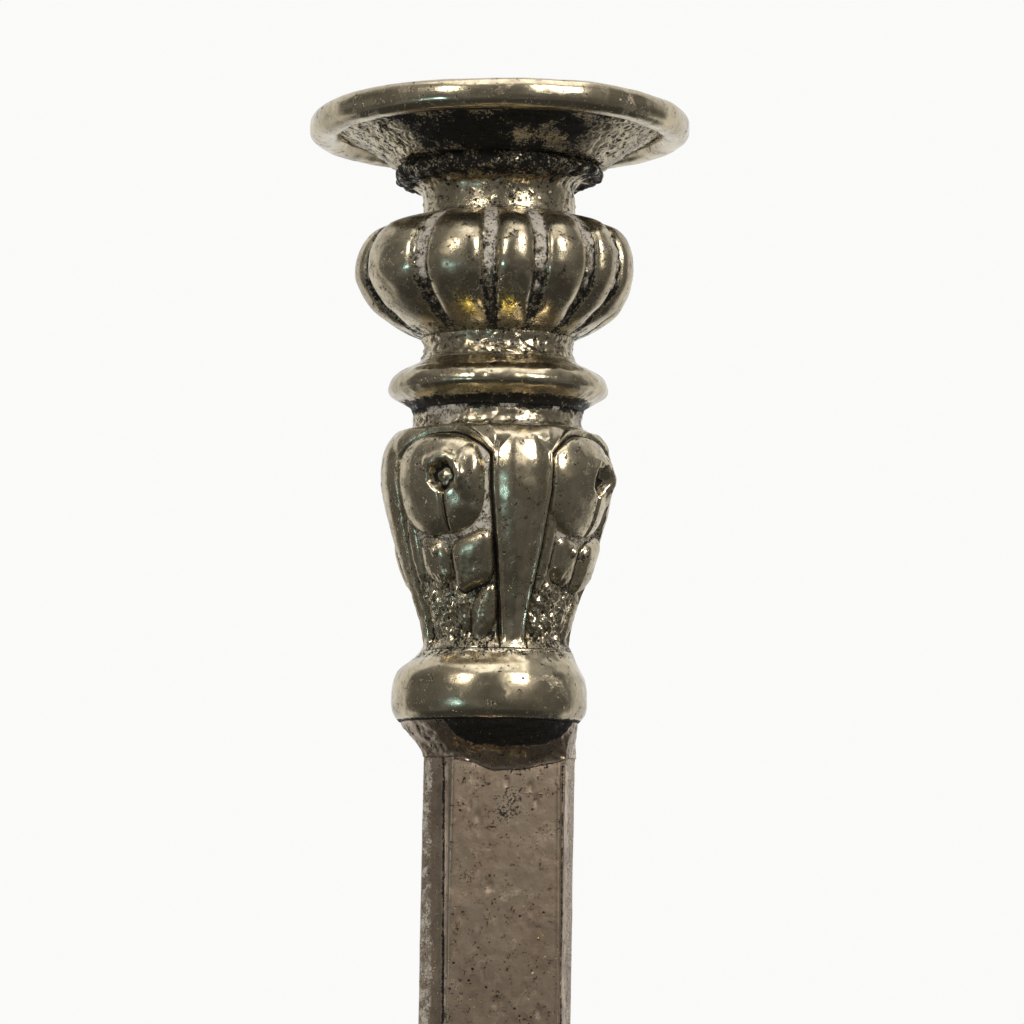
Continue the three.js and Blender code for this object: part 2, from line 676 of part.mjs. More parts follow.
/** The plain cove between the lobed border and the dome. */
function footStep() {
  const top = FOOT_STEP_HEIGHT - SEAM;
  const shelf = FOOT_BORDER_INNER_RADIUS + MOULDING_FILLET;
  const cove = smooth(
    [
      [shelf - 2 * MOULDING_FILLET, FOOT_STEP_HEIGHT * 0.2],
      [shelf - STEP_COVE, FOOT_STEP_HEIGHT * 0.36],
      [FOOT_DOME_RADIUS + STEP_BEAD, FOOT_STEP_HEIGHT * 0.72],
    ],
    4,
  );
  return turnedRing([
    [shelf - FOOT_WALL, 0],
    [shelf, 0],
    [shelf, FOOT_STEP_HEIGHT * 0.14],
    ...cove,
    [FOOT_DOME_RADIUS + STEP_BEAD, FOOT_STEP_HEIGHT * 0.86],
    [FOOT_DOME_RADIUS + STEP_BEAD / 2, top],
    [FOOT_DOME_RADIUS - FOOT_WALL, top],
    [FOOT_DOME_RADIUS - FOOT_WALL, FOOT_STEP_HEIGHT * 0.5],
    [shelf - STEP_COVE - FOOT_WALL, FOOT_STEP_HEIGHT * 0.1],
  ]);
}

/** The lobed border round the foot, a thin shell. */
function footBorder() {
  const edge = FOOT_RADIUS - BORDER_SETBACK;
  const top = FOOT_BORDER_HEIGHT - SEAM;
  const shellInside = edge - BORDER_WALL;
  const outside = smooth(
    [
      [edge - BORDER_SETBACK, 0],
      [edge, FOOT_BORDER_HEIGHT * 0.34],
      [edge - 2 * BORDER_SETBACK, FOOT_BORDER_HEIGHT * 0.74],
      [FOOT_BORDER_INNER_RADIUS + FOOT_WALL, top],
    ],
    6,
  );
  const innerSide = [
    [FOOT_BORDER_INNER_RADIUS - FOOT_WALL, top],
    [FOOT_BORDER_INNER_RADIUS - FOOT_WALL, top - FOOT_WALL],
    [shellInside - BORDER_SETBACK, FOOT_BORDER_HEIGHT * 0.62],
    [shellInside, 0],
  ];
  const grooves = [];
  for (let i = 0; i < FOOT_BORDER_LOBES; i++) grooves.push(((i + 0.5) * 360) / FOOT_BORDER_LOBES);
  const ring = turnedRing([...outside, ...innerSide], FOOT_BORDER_LOBES * SIDES_PER_FOOT_LOBE);
  const depthAt = (radius, height) => {
    const flatEnd = height < SEAM || height > top - SEAM;
    return flatEnd || radius <= shellInside ? 0 : FOOT_GROOVE_DEPTH;
  };
  return lobed(ring, grooves, SIDES_PER_FOOT_LOBE, depthAt);
}

/** The plain wire at the foot's edge. */
function footRim() {
  const inner = FOOT_RADIUS - FOOT_RIM_WIDTH;
  const side = FOOT_RADIUS - RIM_BULGE;
  const top = FOOT_RIM_HEIGHT - SEAM;
  return turnedRing([
    [inner, 0],
    ...bulge(side, 0, top, RIM_BULGE, 6),
    [inner, top],
  ]);
}

/** The weight cast into the foot, clear of its shell, with the rod's hole. */
function weightFilling() {
  const discTop = borderLevel + DISC_PLUG_HEIGHT + SEAM;
  const highest = domeLevel + FOOT_DOME_HEIGHT - 2 * FOOT_WALL - WEIGHT_GAP;
  const dome = movedOut(domeOutline(9), -DOME_WALL - WEIGHT_GAP)
    .map(([radius, height]) => [radius, height + domeLevel])
    .filter(([radius, height]) => height < highest && radius > 2 * ROD_HOLE_RADIUS);
  const weightTop = dome[dome.length - 1][1];
  return turnedRing([
    [ROD_HOLE_RADIUS, discTop],
    [closingRadius - PLUG_INSET, discTop],
    [FOOT_BORDER_INNER_RADIUS - FOOT_WALL - WEIGHT_GAP, borderLevel + FOOT_BORDER_HEIGHT * 0.45],
    [FOOT_DOME_RADIUS - FOOT_WALL - WEIGHT_GAP, stepLevel],
    ...dome,
    [ROD_HOLE_RADIUS, weightTop],
  ]);
}

/** The turned beech disc that closes the foot. The washer and nut lie in its counterbore. */
function closingDisc() {
  return turnedRing([
    [ROD_HOLE_RADIUS, counterboreTop],
    [COUNTERBORE_RADIUS, counterboreTop],
    [COUNTERBORE_RADIUS, baizeTop],
    [closingRadius, baizeTop],
    [closingRadius, borderLevel - SEAM],
    [closingRadius - PLUG_INSET, borderLevel - SEAM],
    [closingRadius - PLUG_INSET, borderLevel + DISC_PLUG_HEIGHT],
    [ROD_HOLE_RADIUS, borderLevel + DISC_PLUG_HEIGHT],
  ]);
}

/** The baize glued under the closing disc, which the foot stands on. */
function baizePad() {
  return bar(closingRadius - BAIZE_INSET, 0, BAIZE_THICKNESS, ROUND_SIDES);
}

// ---- Tie rod and fasteners ----

/** The hexagonal nut, in the counterbore under the washer. */
function rodNut() {
  const corner = NUT_ACROSS_FLATS / Math.sqrt(3);
  const hexagon = new THREE.CylinderGeometry(corner, corner, NUT_THICKNESS, 6);
  hexagon.rotateX(Math.PI / 2).translate(0, 0, NUT_THICKNESS / 2);
  return bored(hexagon, ROD_RADIUS + THREAD_FIT, 0, NUT_THICKNESS);
}

/** The washer between the nut and the closing disc. */
function rodWasher() {
  return turnedRing(
    [
      [ROD_HOLE_RADIUS, 0],
      [WASHER_RADIUS, 0],
      [WASHER_RADIUS, WASHER_THICKNESS],
      [ROD_HOLE_RADIUS, WASHER_THICKNESS],
    ],
    SMALL_SIDES,
  );
}

// ---- Assembly ----

const nozzle = new THREE.Group();
nozzle.position.z = panLevel;
nozzle.add(
  piece("drip_pan", nozzlePan(), silver),
  piece("drip_pan_rim", nozzleRim(), silver),
  piece("nozzle_sleeve", nozzleSleeve(), silver),
);

const head = new THREE.Group();
head.add(
  piece("candle_socket", candleSocket(), castSilver, socketLevel),
  piece("socket_liner", socketLiner(), tinnedBrass, linerFloorLevel),
  piece("lobed_knop", lobedKnop(), castSilver, knopLevel),
  piece("knop_stem", knopStem(), castSilver, knopStemLevel),
  piece("disc_moulding", discMoulding(), castSilver, discLevel),
  piece("shoulder_ring", shoulderRing(), castSilver, shoulderLevel),
  piece("baluster", baluster(), castSilver, balusterLevel),
);

const upperCollar = cushionCollar(balusterFootRadius, { neckAtTop: true });
const lowerCollar = cushionCollar(FOOT_NECK_RADIUS, { neckAtTop: false });
const shaft = new THREE.Group();
shaft.add(
  piece("upper_collar", upperCollar, castSilver, upperCollarLevel),
  piece("column_head", columnEnd({ circleOnTop: true }), silver, columnHeadLevel),
  piece("column", columnTube(), silver, columnLevel + SEAM / 2),
  piece("column_foot", columnEnd({ circleOnTop: false }), silver, columnFootLevel),
  piece("lower_collar", lowerCollar, castSilver, lowerCollarLevel),
);

const foot = new THREE.Group();
foot.add(
  piece("foot_dome", footDome(), silver, domeLevel),
  piece("foot_step", footStep(), silver, stepLevel),
  piece("foot_border", footBorder(), castSilver, borderLevel),
  piece("foot_rim", footRim(), silver, rimLevel),
  piece("weight_filling", weightFilling(), plaster),
  piece("closing_disc", closingDisc(), beech),
  piece("baize_pad", baizePad(), baize),
);

const fastening = new THREE.Group();
fastening.add(
  piece("tie_rod", bar(ROD_RADIUS, rodBottom, rodTop), steel),
  piece("rod_washer", rodWasher(), steel, washerLevel),
  piece("rod_nut", rodNut(), steel, nutLevel),
);

const candlestick = new THREE.Group();
candlestick.name = "candlestick";
candlestick.add(nozzle, head, shaft, foot, fastening);

export default candlestick;
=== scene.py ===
"""Fine surfaces, finishes and studio for a worn silver candlestick.

Every piece is turned about the upright axis, worked by hand-like moves of its surface, and given a
procedural finish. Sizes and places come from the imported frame. Lengths are metres unless a name
ends in _MM, and angles round the axis are counted from the front (-Y) towards +X.
"""

import logging
import math
from dataclasses import dataclass, field
from enum import Enum
from typing import Callable, Sequence

import bmesh
import bpy
import numpy as np
from mathutils import Matrix, Quaternion, Vector

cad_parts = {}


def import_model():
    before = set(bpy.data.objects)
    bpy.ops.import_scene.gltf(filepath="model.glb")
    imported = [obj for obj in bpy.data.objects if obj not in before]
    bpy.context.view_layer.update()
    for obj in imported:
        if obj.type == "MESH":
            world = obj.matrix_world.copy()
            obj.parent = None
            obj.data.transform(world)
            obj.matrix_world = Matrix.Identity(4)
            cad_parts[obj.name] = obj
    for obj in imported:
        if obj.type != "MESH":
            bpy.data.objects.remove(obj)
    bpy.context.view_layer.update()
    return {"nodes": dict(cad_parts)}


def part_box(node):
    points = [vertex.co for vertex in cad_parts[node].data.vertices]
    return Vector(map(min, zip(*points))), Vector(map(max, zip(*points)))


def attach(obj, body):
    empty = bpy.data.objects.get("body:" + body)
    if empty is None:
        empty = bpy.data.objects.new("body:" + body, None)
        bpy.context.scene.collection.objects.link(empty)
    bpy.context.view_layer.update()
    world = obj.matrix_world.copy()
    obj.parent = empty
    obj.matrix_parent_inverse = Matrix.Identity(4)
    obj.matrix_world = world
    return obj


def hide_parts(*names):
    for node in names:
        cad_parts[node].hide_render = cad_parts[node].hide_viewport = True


LOG = logging.getLogger("candlestick")
MM = 0.001

# A turned ring is spun over one sector, which is then doubled this many times.
DOUBLINGS = 5

# How far each stacked piece's spigot stands up inside the next one.
SPIGOT = 1.15 * MM
ROD_HOLE = 2.9 * MM
BOSS_HOLE = 5.3 * MM

# How far the upper collar sits to the left of the column's axis.
COLLAR_ASIDE_MM = 1.15

Point = tuple[float, float]
Field = Callable[["Surface"], np.ndarray]
Colour = tuple[float, float, float]


class Body(Enum):
    """The two rigid bodies: the candlestick, and the loose nozzle that lifts out of its socket."""

    STICK = "stick"
    NOZZLE = "nozzle"


# ---------------------------------------------------------------------------------------------
# Curves and fields
# ---------------------------------------------------------------------------------------------


def smooth_line(points: Sequence[Point], steps: int = 12) -> list[Point]:
    """Runs a smooth curve through the given points.

    Args:
        points: radius and height of each point that the curve passes.
        steps: pieces that each stretch between two points is cut into.

    Returns:
        The points of the curve, both ends included.
    """
    given = np.array(points, dtype=float)
    padded = np.vstack([2 * given[0] - given[1], given, 2 * given[-1] - given[-2]])
    line: list[Point] = []
    for start in range(len(given) - 1):
        before, first, second, after = padded[start : start + 4]
        for step in range(steps):
            t = step / steps
            climb = 0.5 * t * (second - before)
            bend = t * t * (before - 2.5 * first + 2 * second - 0.5 * after)
            twist = 0.5 * t**3 * (3 * (first - second) + after - before)
            line.append(tuple(first + climb + bend + twist))
    line.append(tuple(given[-1]))
    return line


def evenly(line: Sequence[Point], spacing: float) -> list[Point]:
    """Places points at even steps along a line, keeping its two ends.

    Args:
        line: radius and height of each corner.
        spacing: the wanted distance between two points.

    Returns:
        The new points.
    """
    corners = np.array(line, dtype=float)
    travelled = np.concatenate([[0], np.cumsum(np.linalg.norm(np.diff(corners, axis=0), axis=1))])
    count = max(2, int(round(travelled[-1] / spacing)) + 1)
    wanted = np.linspace(0, travelled[-1], count)
    radius = np.interp(wanted, travelled, corners[:, 0])
    height = np.interp(wanted, travelled, corners[:, 1])
    return list(zip(radius, height))


def step_up(value: np.ndarray, low: float, high: float) -> np.ndarray:
    """Goes smoothly from 0 at low to 1 at high, whichever of the two is larger."""
    t = np.clip((value - low) / (high - low), 0, 1)
    return t * t * (3 - 2 * t)


def hump(value: np.ndarray, width: float) -> np.ndarray:
    """A bell curve, 1 where the value is 0 and almost 0 past twice the width."""
    return np.exp(-((value / width) ** 2))


def lobe_height(away: np.ndarray) -> np.ndarray:
    """The round section of a lobe, 1 at its middle and 0 at its side, where away is 1."""
    return np.sqrt(np.clip(1 - np.clip(away, 0, 1) ** 2.2, 0, 1))


@dataclass(frozen=True)
class Unevenness:
    """A smooth random field in space, the sum of waves in random directions.

    Attributes:
        seed: picks the waves.
        size_mm: the usual distance from one bump to the next.
        waves: how many waves are summed.
    """

    seed: int
    size_mm: float
    waves: int = 28

    def at(self, places: np.ndarray) -> np.ndarray:
        """Gives the field's value, about -2 to 2, at each place.

        Args:
            places: one row of x, y, z for each place, in metres.

        Returns:
            One value for each place.
        """
        chance = np.random.default_rng(self.seed)
        ways = chance.normal(size=(self.waves, 3))
        ways /= np.linalg.norm(ways, axis=1)[:, None]
        rates = math.tau / (self.size_mm * MM) * chance.uniform(0.6, 1.4, (self.waves, 1))
        phases = chance.uniform(0, math.tau, self.waves)
        return np.cos(places @ (ways * rates).T + phases).sum(axis=1) / math.sqrt(self.waves / 2)


@dataclass
class Surface:
    """The places on a piece's worked side, as its fields read them.

    Attributes:
        places: x, y, z of each vertex, in metres.
        along: share of the way along the worked outline, from its start to its end.
        low: height of the piece's bottom, in metres.
        high: height of the piece's top, in metres.
    """

    places: np.ndarray
    along: np.ndarray
    low: float
    high: float

    @property
    def angle(self) -> np.ndarray:
        """Degrees round the axis, from the front towards +X."""
        return np.degrees(np.arctan2(self.places[:, 0], -self.places[:, 1]))

    @property
    def radius(self) -> np.ndarray:
        """Distance from the axis, in metres."""
        return np.hypot(self.places[:, 0], self.places[:, 1])

    @property
    def rise(self) -> np.ndarray:
        """Share of the way from the piece's bottom to its top."""
        return (self.places[:, 2] - self.low) / (self.high - self.low)

    def off(self, middle: float) -> np.ndarray:
        """Signed degrees from a middle angle, the short way round."""
        return (self.angle - middle + 180) % 360 - 180

    def uneven(self, seed: int, size_mm: float, waves: int = 28) -> np.ndarray:
        """The value of a smooth random field at each place."""
        return Unevenness(seed, size_mm, waves).at(self.places)


# ---------------------------------------------------------------------------------------------
# Turned pieces
# ---------------------------------------------------------------------------------------------


@dataclass
class TurnedPiece:
    """A ring-shaped piece turned about the upright axis and then worked.

    Attributes:
        name: the piece's name.
        nodes: the frame's nodes that it stands for.
        slot: the record's material slot; not used.
        body: the body that it moves with.
        worked: the outline that shows, as radius and height in metres.
        hidden: the rest of the closed outline, which never shows or is plain.
        around: vertices in one turn, a multiple of 32.
        spacing_mm: distance between vertices along the worked outline.
        push: fields that move the worked side outwards, in metres.
        radial: a field that gives the worked side's radius, in metres, or None.
        shift: a field that then moves the worked side bodily, in metres, or None.
        paint: fields from 0 to 1 that the finish reads, by name.
    """

    name: str
    nodes: tuple[str, ...]
    slot: str
    body: Body
    worked: list[Point]
    hidden: list[Point]
    around: int = 352
    spacing_mm: float = 0.4
    push: list[Field] = field(default_factory=list)
    radial: Field | None = None
    shift: Field | None = None
    paint: dict[str, Field] = field(default_factory=dict)

    def make(self, finish: "Finish") -> bpy.types.Object:
        """Spins the outline, works its surface and dresses it.

        Args:
            finish: the finish that covers the piece.

        Returns:
            The piece, riding on its body.
        """
        mesh = self._spin()
        self._work(mesh)
        mesh.materials.append(finish.material())
        piece = place_in_scene(self.name, mesh)
        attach(piece, self.body.value)
        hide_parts(*self.nodes)
        LOG.info("%s: %d faces, for %s", self.name, len(mesh.polygons), ", ".join(self.nodes))
        return piece

    def _spin(self) -> bpy.types.Mesh:
        """Makes the closed ring of faces from the outline.

        Returns:
            The mesh, with an attribute that is the share of the way along the worked outline, or
            -1 on the hidden side.
        """
        shown = evenly(self.worked, self.spacing_mm * MM)
        outline = shown + list(self.hidden)
        bm = bmesh.new()
        layer = bm.verts.layers.float.new("along")
        corners = []
        for index, (radius, height) in enumerate(outline):
            vertex = bm.verts.new((radius, 0, height))
            vertex[layer] = index / (len(shown) - 1) if index < len(shown) else -1
            corners.append(vertex)
        pairs = zip([corners[-1], *corners[:-1]], corners)
        loop = [bm.edges.new(pair) for pair in pairs if max(pair[0].co.x, pair[1].co.x) > 0]
        sector = math.tau / 2**DOUBLINGS
        steps = self.around // 2**DOUBLINGS
        upright = {"cent": (0, 0, 0), "axis": (0, 0, 1)}
        bmesh.ops.spin(bm, geom=corners + loop, **upright, angle=sector, steps=steps)
        for _ in range(DOUBLINGS):
            copied = bmesh.ops.duplicate(bm, geom=[*bm.verts, *bm.edges, *bm.faces])["geom"]
            turn = Matrix.Rotation(sector, 3, "Z")
            bmesh.ops.rotate(bm, cent=(0, 0, 0), matrix=turn, verts=only_vertices(copied))
            sector *= 2
        bmesh.ops.remove_doubles(bm, verts=bm.verts, dist=1e-7)
        bmesh.ops.recalc_face_normals(bm, faces=bm.faces)
        return as_mesh(bm, self.name)

    def _work(self, mesh: bpy.types.Mesh) -> None:
        """Moves the worked side by the piece's fields and paints its attributes.

        Args:
            mesh: the spun mesh, changed in place.
        """
        places = read_vectors(mesh, "co")
        along = np.empty(len(mesh.vertices))
        mesh.attributes["along"].data.foreach_get("value", along)
        shows = along >= 0
        heights = [height for _, height in self.worked]
        surface = Surface(places[shows], along[shows], min(heights), max(heights))
        if self.radial is not None:
            scale = self.radial(surface) / surface.radius
            surface.places[:, :2] *= scale[:, None]
        if self.shift is not None:
            surface.places += self.shift(surface)
        places[shows] = surface.places
        write_places(mesh, places)
        normals = read_vectors(mesh, "normal")[shows]
        moved = sum((push(surface) for push in self.push), np.zeros(int(shows.sum())))
        ends = step_up(surface.along, 0, 0.02) * step_up(1 - surface.along, 0, 0.02)
        painted = {name: paint(surface) for name, paint in self.paint.items()}
        places[shows] += normals * (moved * ends)[:, None]
        write_places(mesh, places)
        write_field(mesh, "hollow", hollows(mesh))
        for name, values in painted.items():
            whole = np.zeros(len(places))
            whole[shows] = np.clip(values, 0, 1)
            write_field(mesh, name, whole)
        mesh.attributes.remove(mesh.attributes["along"])


def only_vertices(parts: Sequence[object]) -> list[bmesh.types.BMVert]:
    """Picks the vertices out of a mesh's parts."""
    return [part for part in parts if isinstance(part, bmesh.types.BMVert)]


def as_mesh(bm: bmesh.types.BMesh, name: str, soft: bool = True) -> bpy.types.Mesh:
    """Turns the working mesh into a named one, shaded smooth when it is soft."""
    mesh = bpy.data.meshes.new(name)
    bm.to_mesh(mesh)
    bm.free()
    mesh.polygons.foreach_set("use_smooth", [soft] * len(mesh.polygons))
    return mesh


def place_in_scene(name: str, data: bpy.types.ID) -> bpy.types.Object:
    """Makes an object of some data and puts it in the scene."""
    made = bpy.data.objects.new(name, data)
    bpy.context.scene.collection.objects.link(made)
    return made


def read_vectors(mesh: bpy.types.Mesh, what: str) -> np.ndarray:
    """Reads a vector of every vertex, one row each."""
    values = np.empty(len(mesh.vertices) * 3)
    mesh.vertices.foreach_get(what, values)
    return values.reshape(-1, 3)


def write_places(mesh: bpy.types.Mesh, places: np.ndarray) -> None:
    """Moves every vertex to its row of places."""
    mesh.vertices.foreach_set("co", places.ravel())
    mesh.update()


def write_field(mesh: bpy.types.Mesh, name: str, values: np.ndarray) -> None:
    """Stores one value for each vertex as an attribute."""
    attribute = mesh.attributes.new(name, "FLOAT", "POINT")
    attribute.data.foreach_set("value", values)


def hollows(mesh: bpy.types.Mesh, rounds: int = 14, full_mm: float = 0.35) -> np.ndarray:
    """Measures how hollow the surface is, by comparing it with a smoothed copy.

    Args:
        mesh: the finished mesh.
        rounds: times that the copy is smoothed, which sets how wide a hollow it sees.
        full_mm: the depth that counts as 1.

    Returns:
        For each vertex, 0 to 1 in hollows and 0 to -1 on ridges.
    """
    places = read_vectors(mesh, "co")
    normals = read_vectors(mesh, "normal")
    ends = np.empty(len(mesh.edges) * 2, dtype=np.int64)
    mesh.edges.foreach_get("vertices", ends)
    first, second = ends[0::2], ends[1::2]
    neighbours = np.bincount(ends, minlength=len(places))[:, None]
    copy = places.copy()
    for _ in range(rounds):
        total = np.zeros_like(copy)
        for axis in range(3):
            total[:, axis] = np.bincount(first, copy[second, axis], len(places))
            total[:, axis] += np.bincount(second, copy[first, axis], len(places))
        copy = 0.5 * copy + 0.5 * total / neighbours
    depth = ((copy - places) * normals).sum(axis=1)
    return np.clip(depth / (full_mm * MM), -1, 1)


# ---------------------------------------------------------------------------------------------
# Finishes
# ---------------------------------------------------------------------------------------------


class Graph:
    """Short calls for making shader nodes."""

    def __init__(self, tree: bpy.types.NodeTree) -> None:
        """Works on a node tree."""
        self.nodes = tree.nodes
        self.links = tree.links
        self.coordinates = self.nodes.new("ShaderNodeTexCoord")
        self.place = self.coordinates.outputs["Object"]

    @staticmethod
    def of_material(name: str) -> "Graph":
        """Starts a material with one principled shader."""
        material = bpy.data.materials.new(name)
        material.use_nodes = True
        graph = Graph(material.node_tree)
        graph.material = material
        graph.shader = graph.nodes["Principled BSDF"]
        return graph

    def node(self, kind: str, **settings: object) -> bpy.types.Node:
        """Adds a node of a kind and sets its properties."""
        made = self.nodes.new(kind)
        for key, value in settings.items():
            setattr(made, key, value)
        return made

    def put(self, socket: bpy.types.NodeSocket, value: object) -> None:
        """Links a socket to another, or sets its value."""
        if isinstance(value, bpy.types.NodeSocket):
            self.links.new(value, socket)
        elif isinstance(value, tuple) and len(value) == 3 and socket.type == "RGBA":
            socket.default_value = (*value, 1)
        else:
            socket.default_value = value

    def _sum(self, operation: str, first: object, second: object) -> bpy.types.NodeSocket:
        """One step of arithmetic on two values."""
        made = self.node("ShaderNodeMath", operation=operation)
        self.put(made.inputs[0], first)
        self.put(made.inputs[1], second)
        return made.outputs[0]

    def plus(self, first: object, second: object) -> bpy.types.NodeSocket:
        """The sum of two values."""
        return self._sum("ADD", first, second)

    def minus(self, first: object, second: object) -> bpy.types.NodeSocket:
        """The first value less the second."""
        return self._sum("SUBTRACT", first, second)

    def times(self, first: object, second: object) -> bpy.types.NodeSocket:
        """The product of two values."""
        return self._sum("MULTIPLY", first, second)

    def larger(self, first: object, second: object) -> bpy.types.NodeSocket:
        """The larger of two values."""
        return self._sum("MAXIMUM", first, second)

    def weighed(self, first: object, of_first: float, second: object, of_second: float) -> object:
        """The sum of two values, each times its weight."""
        return self.plus(self.times(first, of_first), self.times(second, of_second))

    def between(
        self, value: object, low: float, high: float, start: float = 0.0, end: float = 1.0
    ) -> bpy.types.NodeSocket:
        """Turns the range low to high smoothly into start to end, and holds it there."""
        made = self.node("ShaderNodeMapRange", interpolation_type="SMOOTHSTEP")
        names = ("Value", "From Min", "From Max", "To Min", "To Max")
        for name, setting in zip(names, (value, low, high, start, end)):
            self.put(made.inputs[name], setting)
        return made.outputs["Result"]

    def stretched(
        self, scale: tuple[float, float, float], turn: tuple[float, float, float] = (0, 0, 0)
    ) -> bpy.types.NodeSocket:
        """The place on the piece, turned and then scaled by axis."""
        made = self.node("ShaderNodeMapping")
        self.put(made.inputs["Vector"], self.place)
        made.inputs["Rotation"].default_value = turn
        made.inputs["Scale"].default_value = scale
        return made.outputs["Vector"]

    def noise(
        self, size_mm: float, detail: float = 4.0, rough: float = 0.5, at: object = None
    ) -> bpy.types.NodeSocket:
        """Cloudy noise whose blots are about a size across."""
        made = self.node("ShaderNodeTexNoise")
        self.put(made.inputs["Vector"], self.place if at is None else at)
        made.inputs["Scale"].default_value = 1 / (size_mm * MM)
        made.inputs["Detail"].default_value = detail
        made.inputs["Roughness"].default_value = rough
        return made.outputs["Fac"]

    def cells(self, size_mm: float, feature: str = "F1", at: object = None) -> bpy.types.NodeSocket:
        """Distance to the nearest of scattered points, or to the line between two of them."""
        made = self.node("ShaderNodeTexVoronoi", feature=feature)
        self.put(made.inputs["Vector"], self.place if at is None else at)
        made.inputs["Scale"].default_value = 1 / (size_mm * MM)
        return made.outputs["Distance"]

    def shade(self, name: str, value: object) -> None:
        """Links the shader's input of a name, or sets its value."""
        self.put(self.shader.inputs[name], value)

    def painted(self, name: str) -> bpy.types.NodeSocket:
        """A field that the piece carries, 0 where it has none."""
        return self.node("ShaderNodeAttribute", attribute_name=name).outputs["Fac"]

    def mix(self, share: object, first: object, second: object) -> bpy.types.NodeSocket:
        """A colour between two others."""
        made = self.node("ShaderNodeMix", data_type="RGBA")
        self.put(made.inputs[0], share)
        self.put(made.inputs[6], first)
        self.put(made.inputs[7], second)
        return made.outputs[2]

    def bump(self, height: object, depth_mm: float, under: object = None) -> bpy.types.NodeSocket:
        """A shading normal from a height between 0 and 1, on top of another one."""
        made = self.node("ShaderNodeBump")
        made.inputs["Strength"].default_value = 1.0
        made.inputs["Distance"].default_value = depth_mm * MM
        self.put(made.inputs["Height"], height)
        if under is not None:
            self.put(made.inputs["Normal"], under)
        return made.outputs["Normal"]


class Finish:
    """A surface finish that makes its material once."""

    _made: dict[str, bpy.types.Material] = {}

    def material(self) -> bpy.types.Material:
        """The finish as a material, made at the first call."""
        name = self.name
        if name not in Finish._made:
            Finish._made[name] = self._build(Graph.of_material(name))
        return Finish._made[name]

    def _build(self, graph: Graph) -> bpy.types.Material:
        """Makes the nodes; each finish has its own."""
        raise NotImplementedError


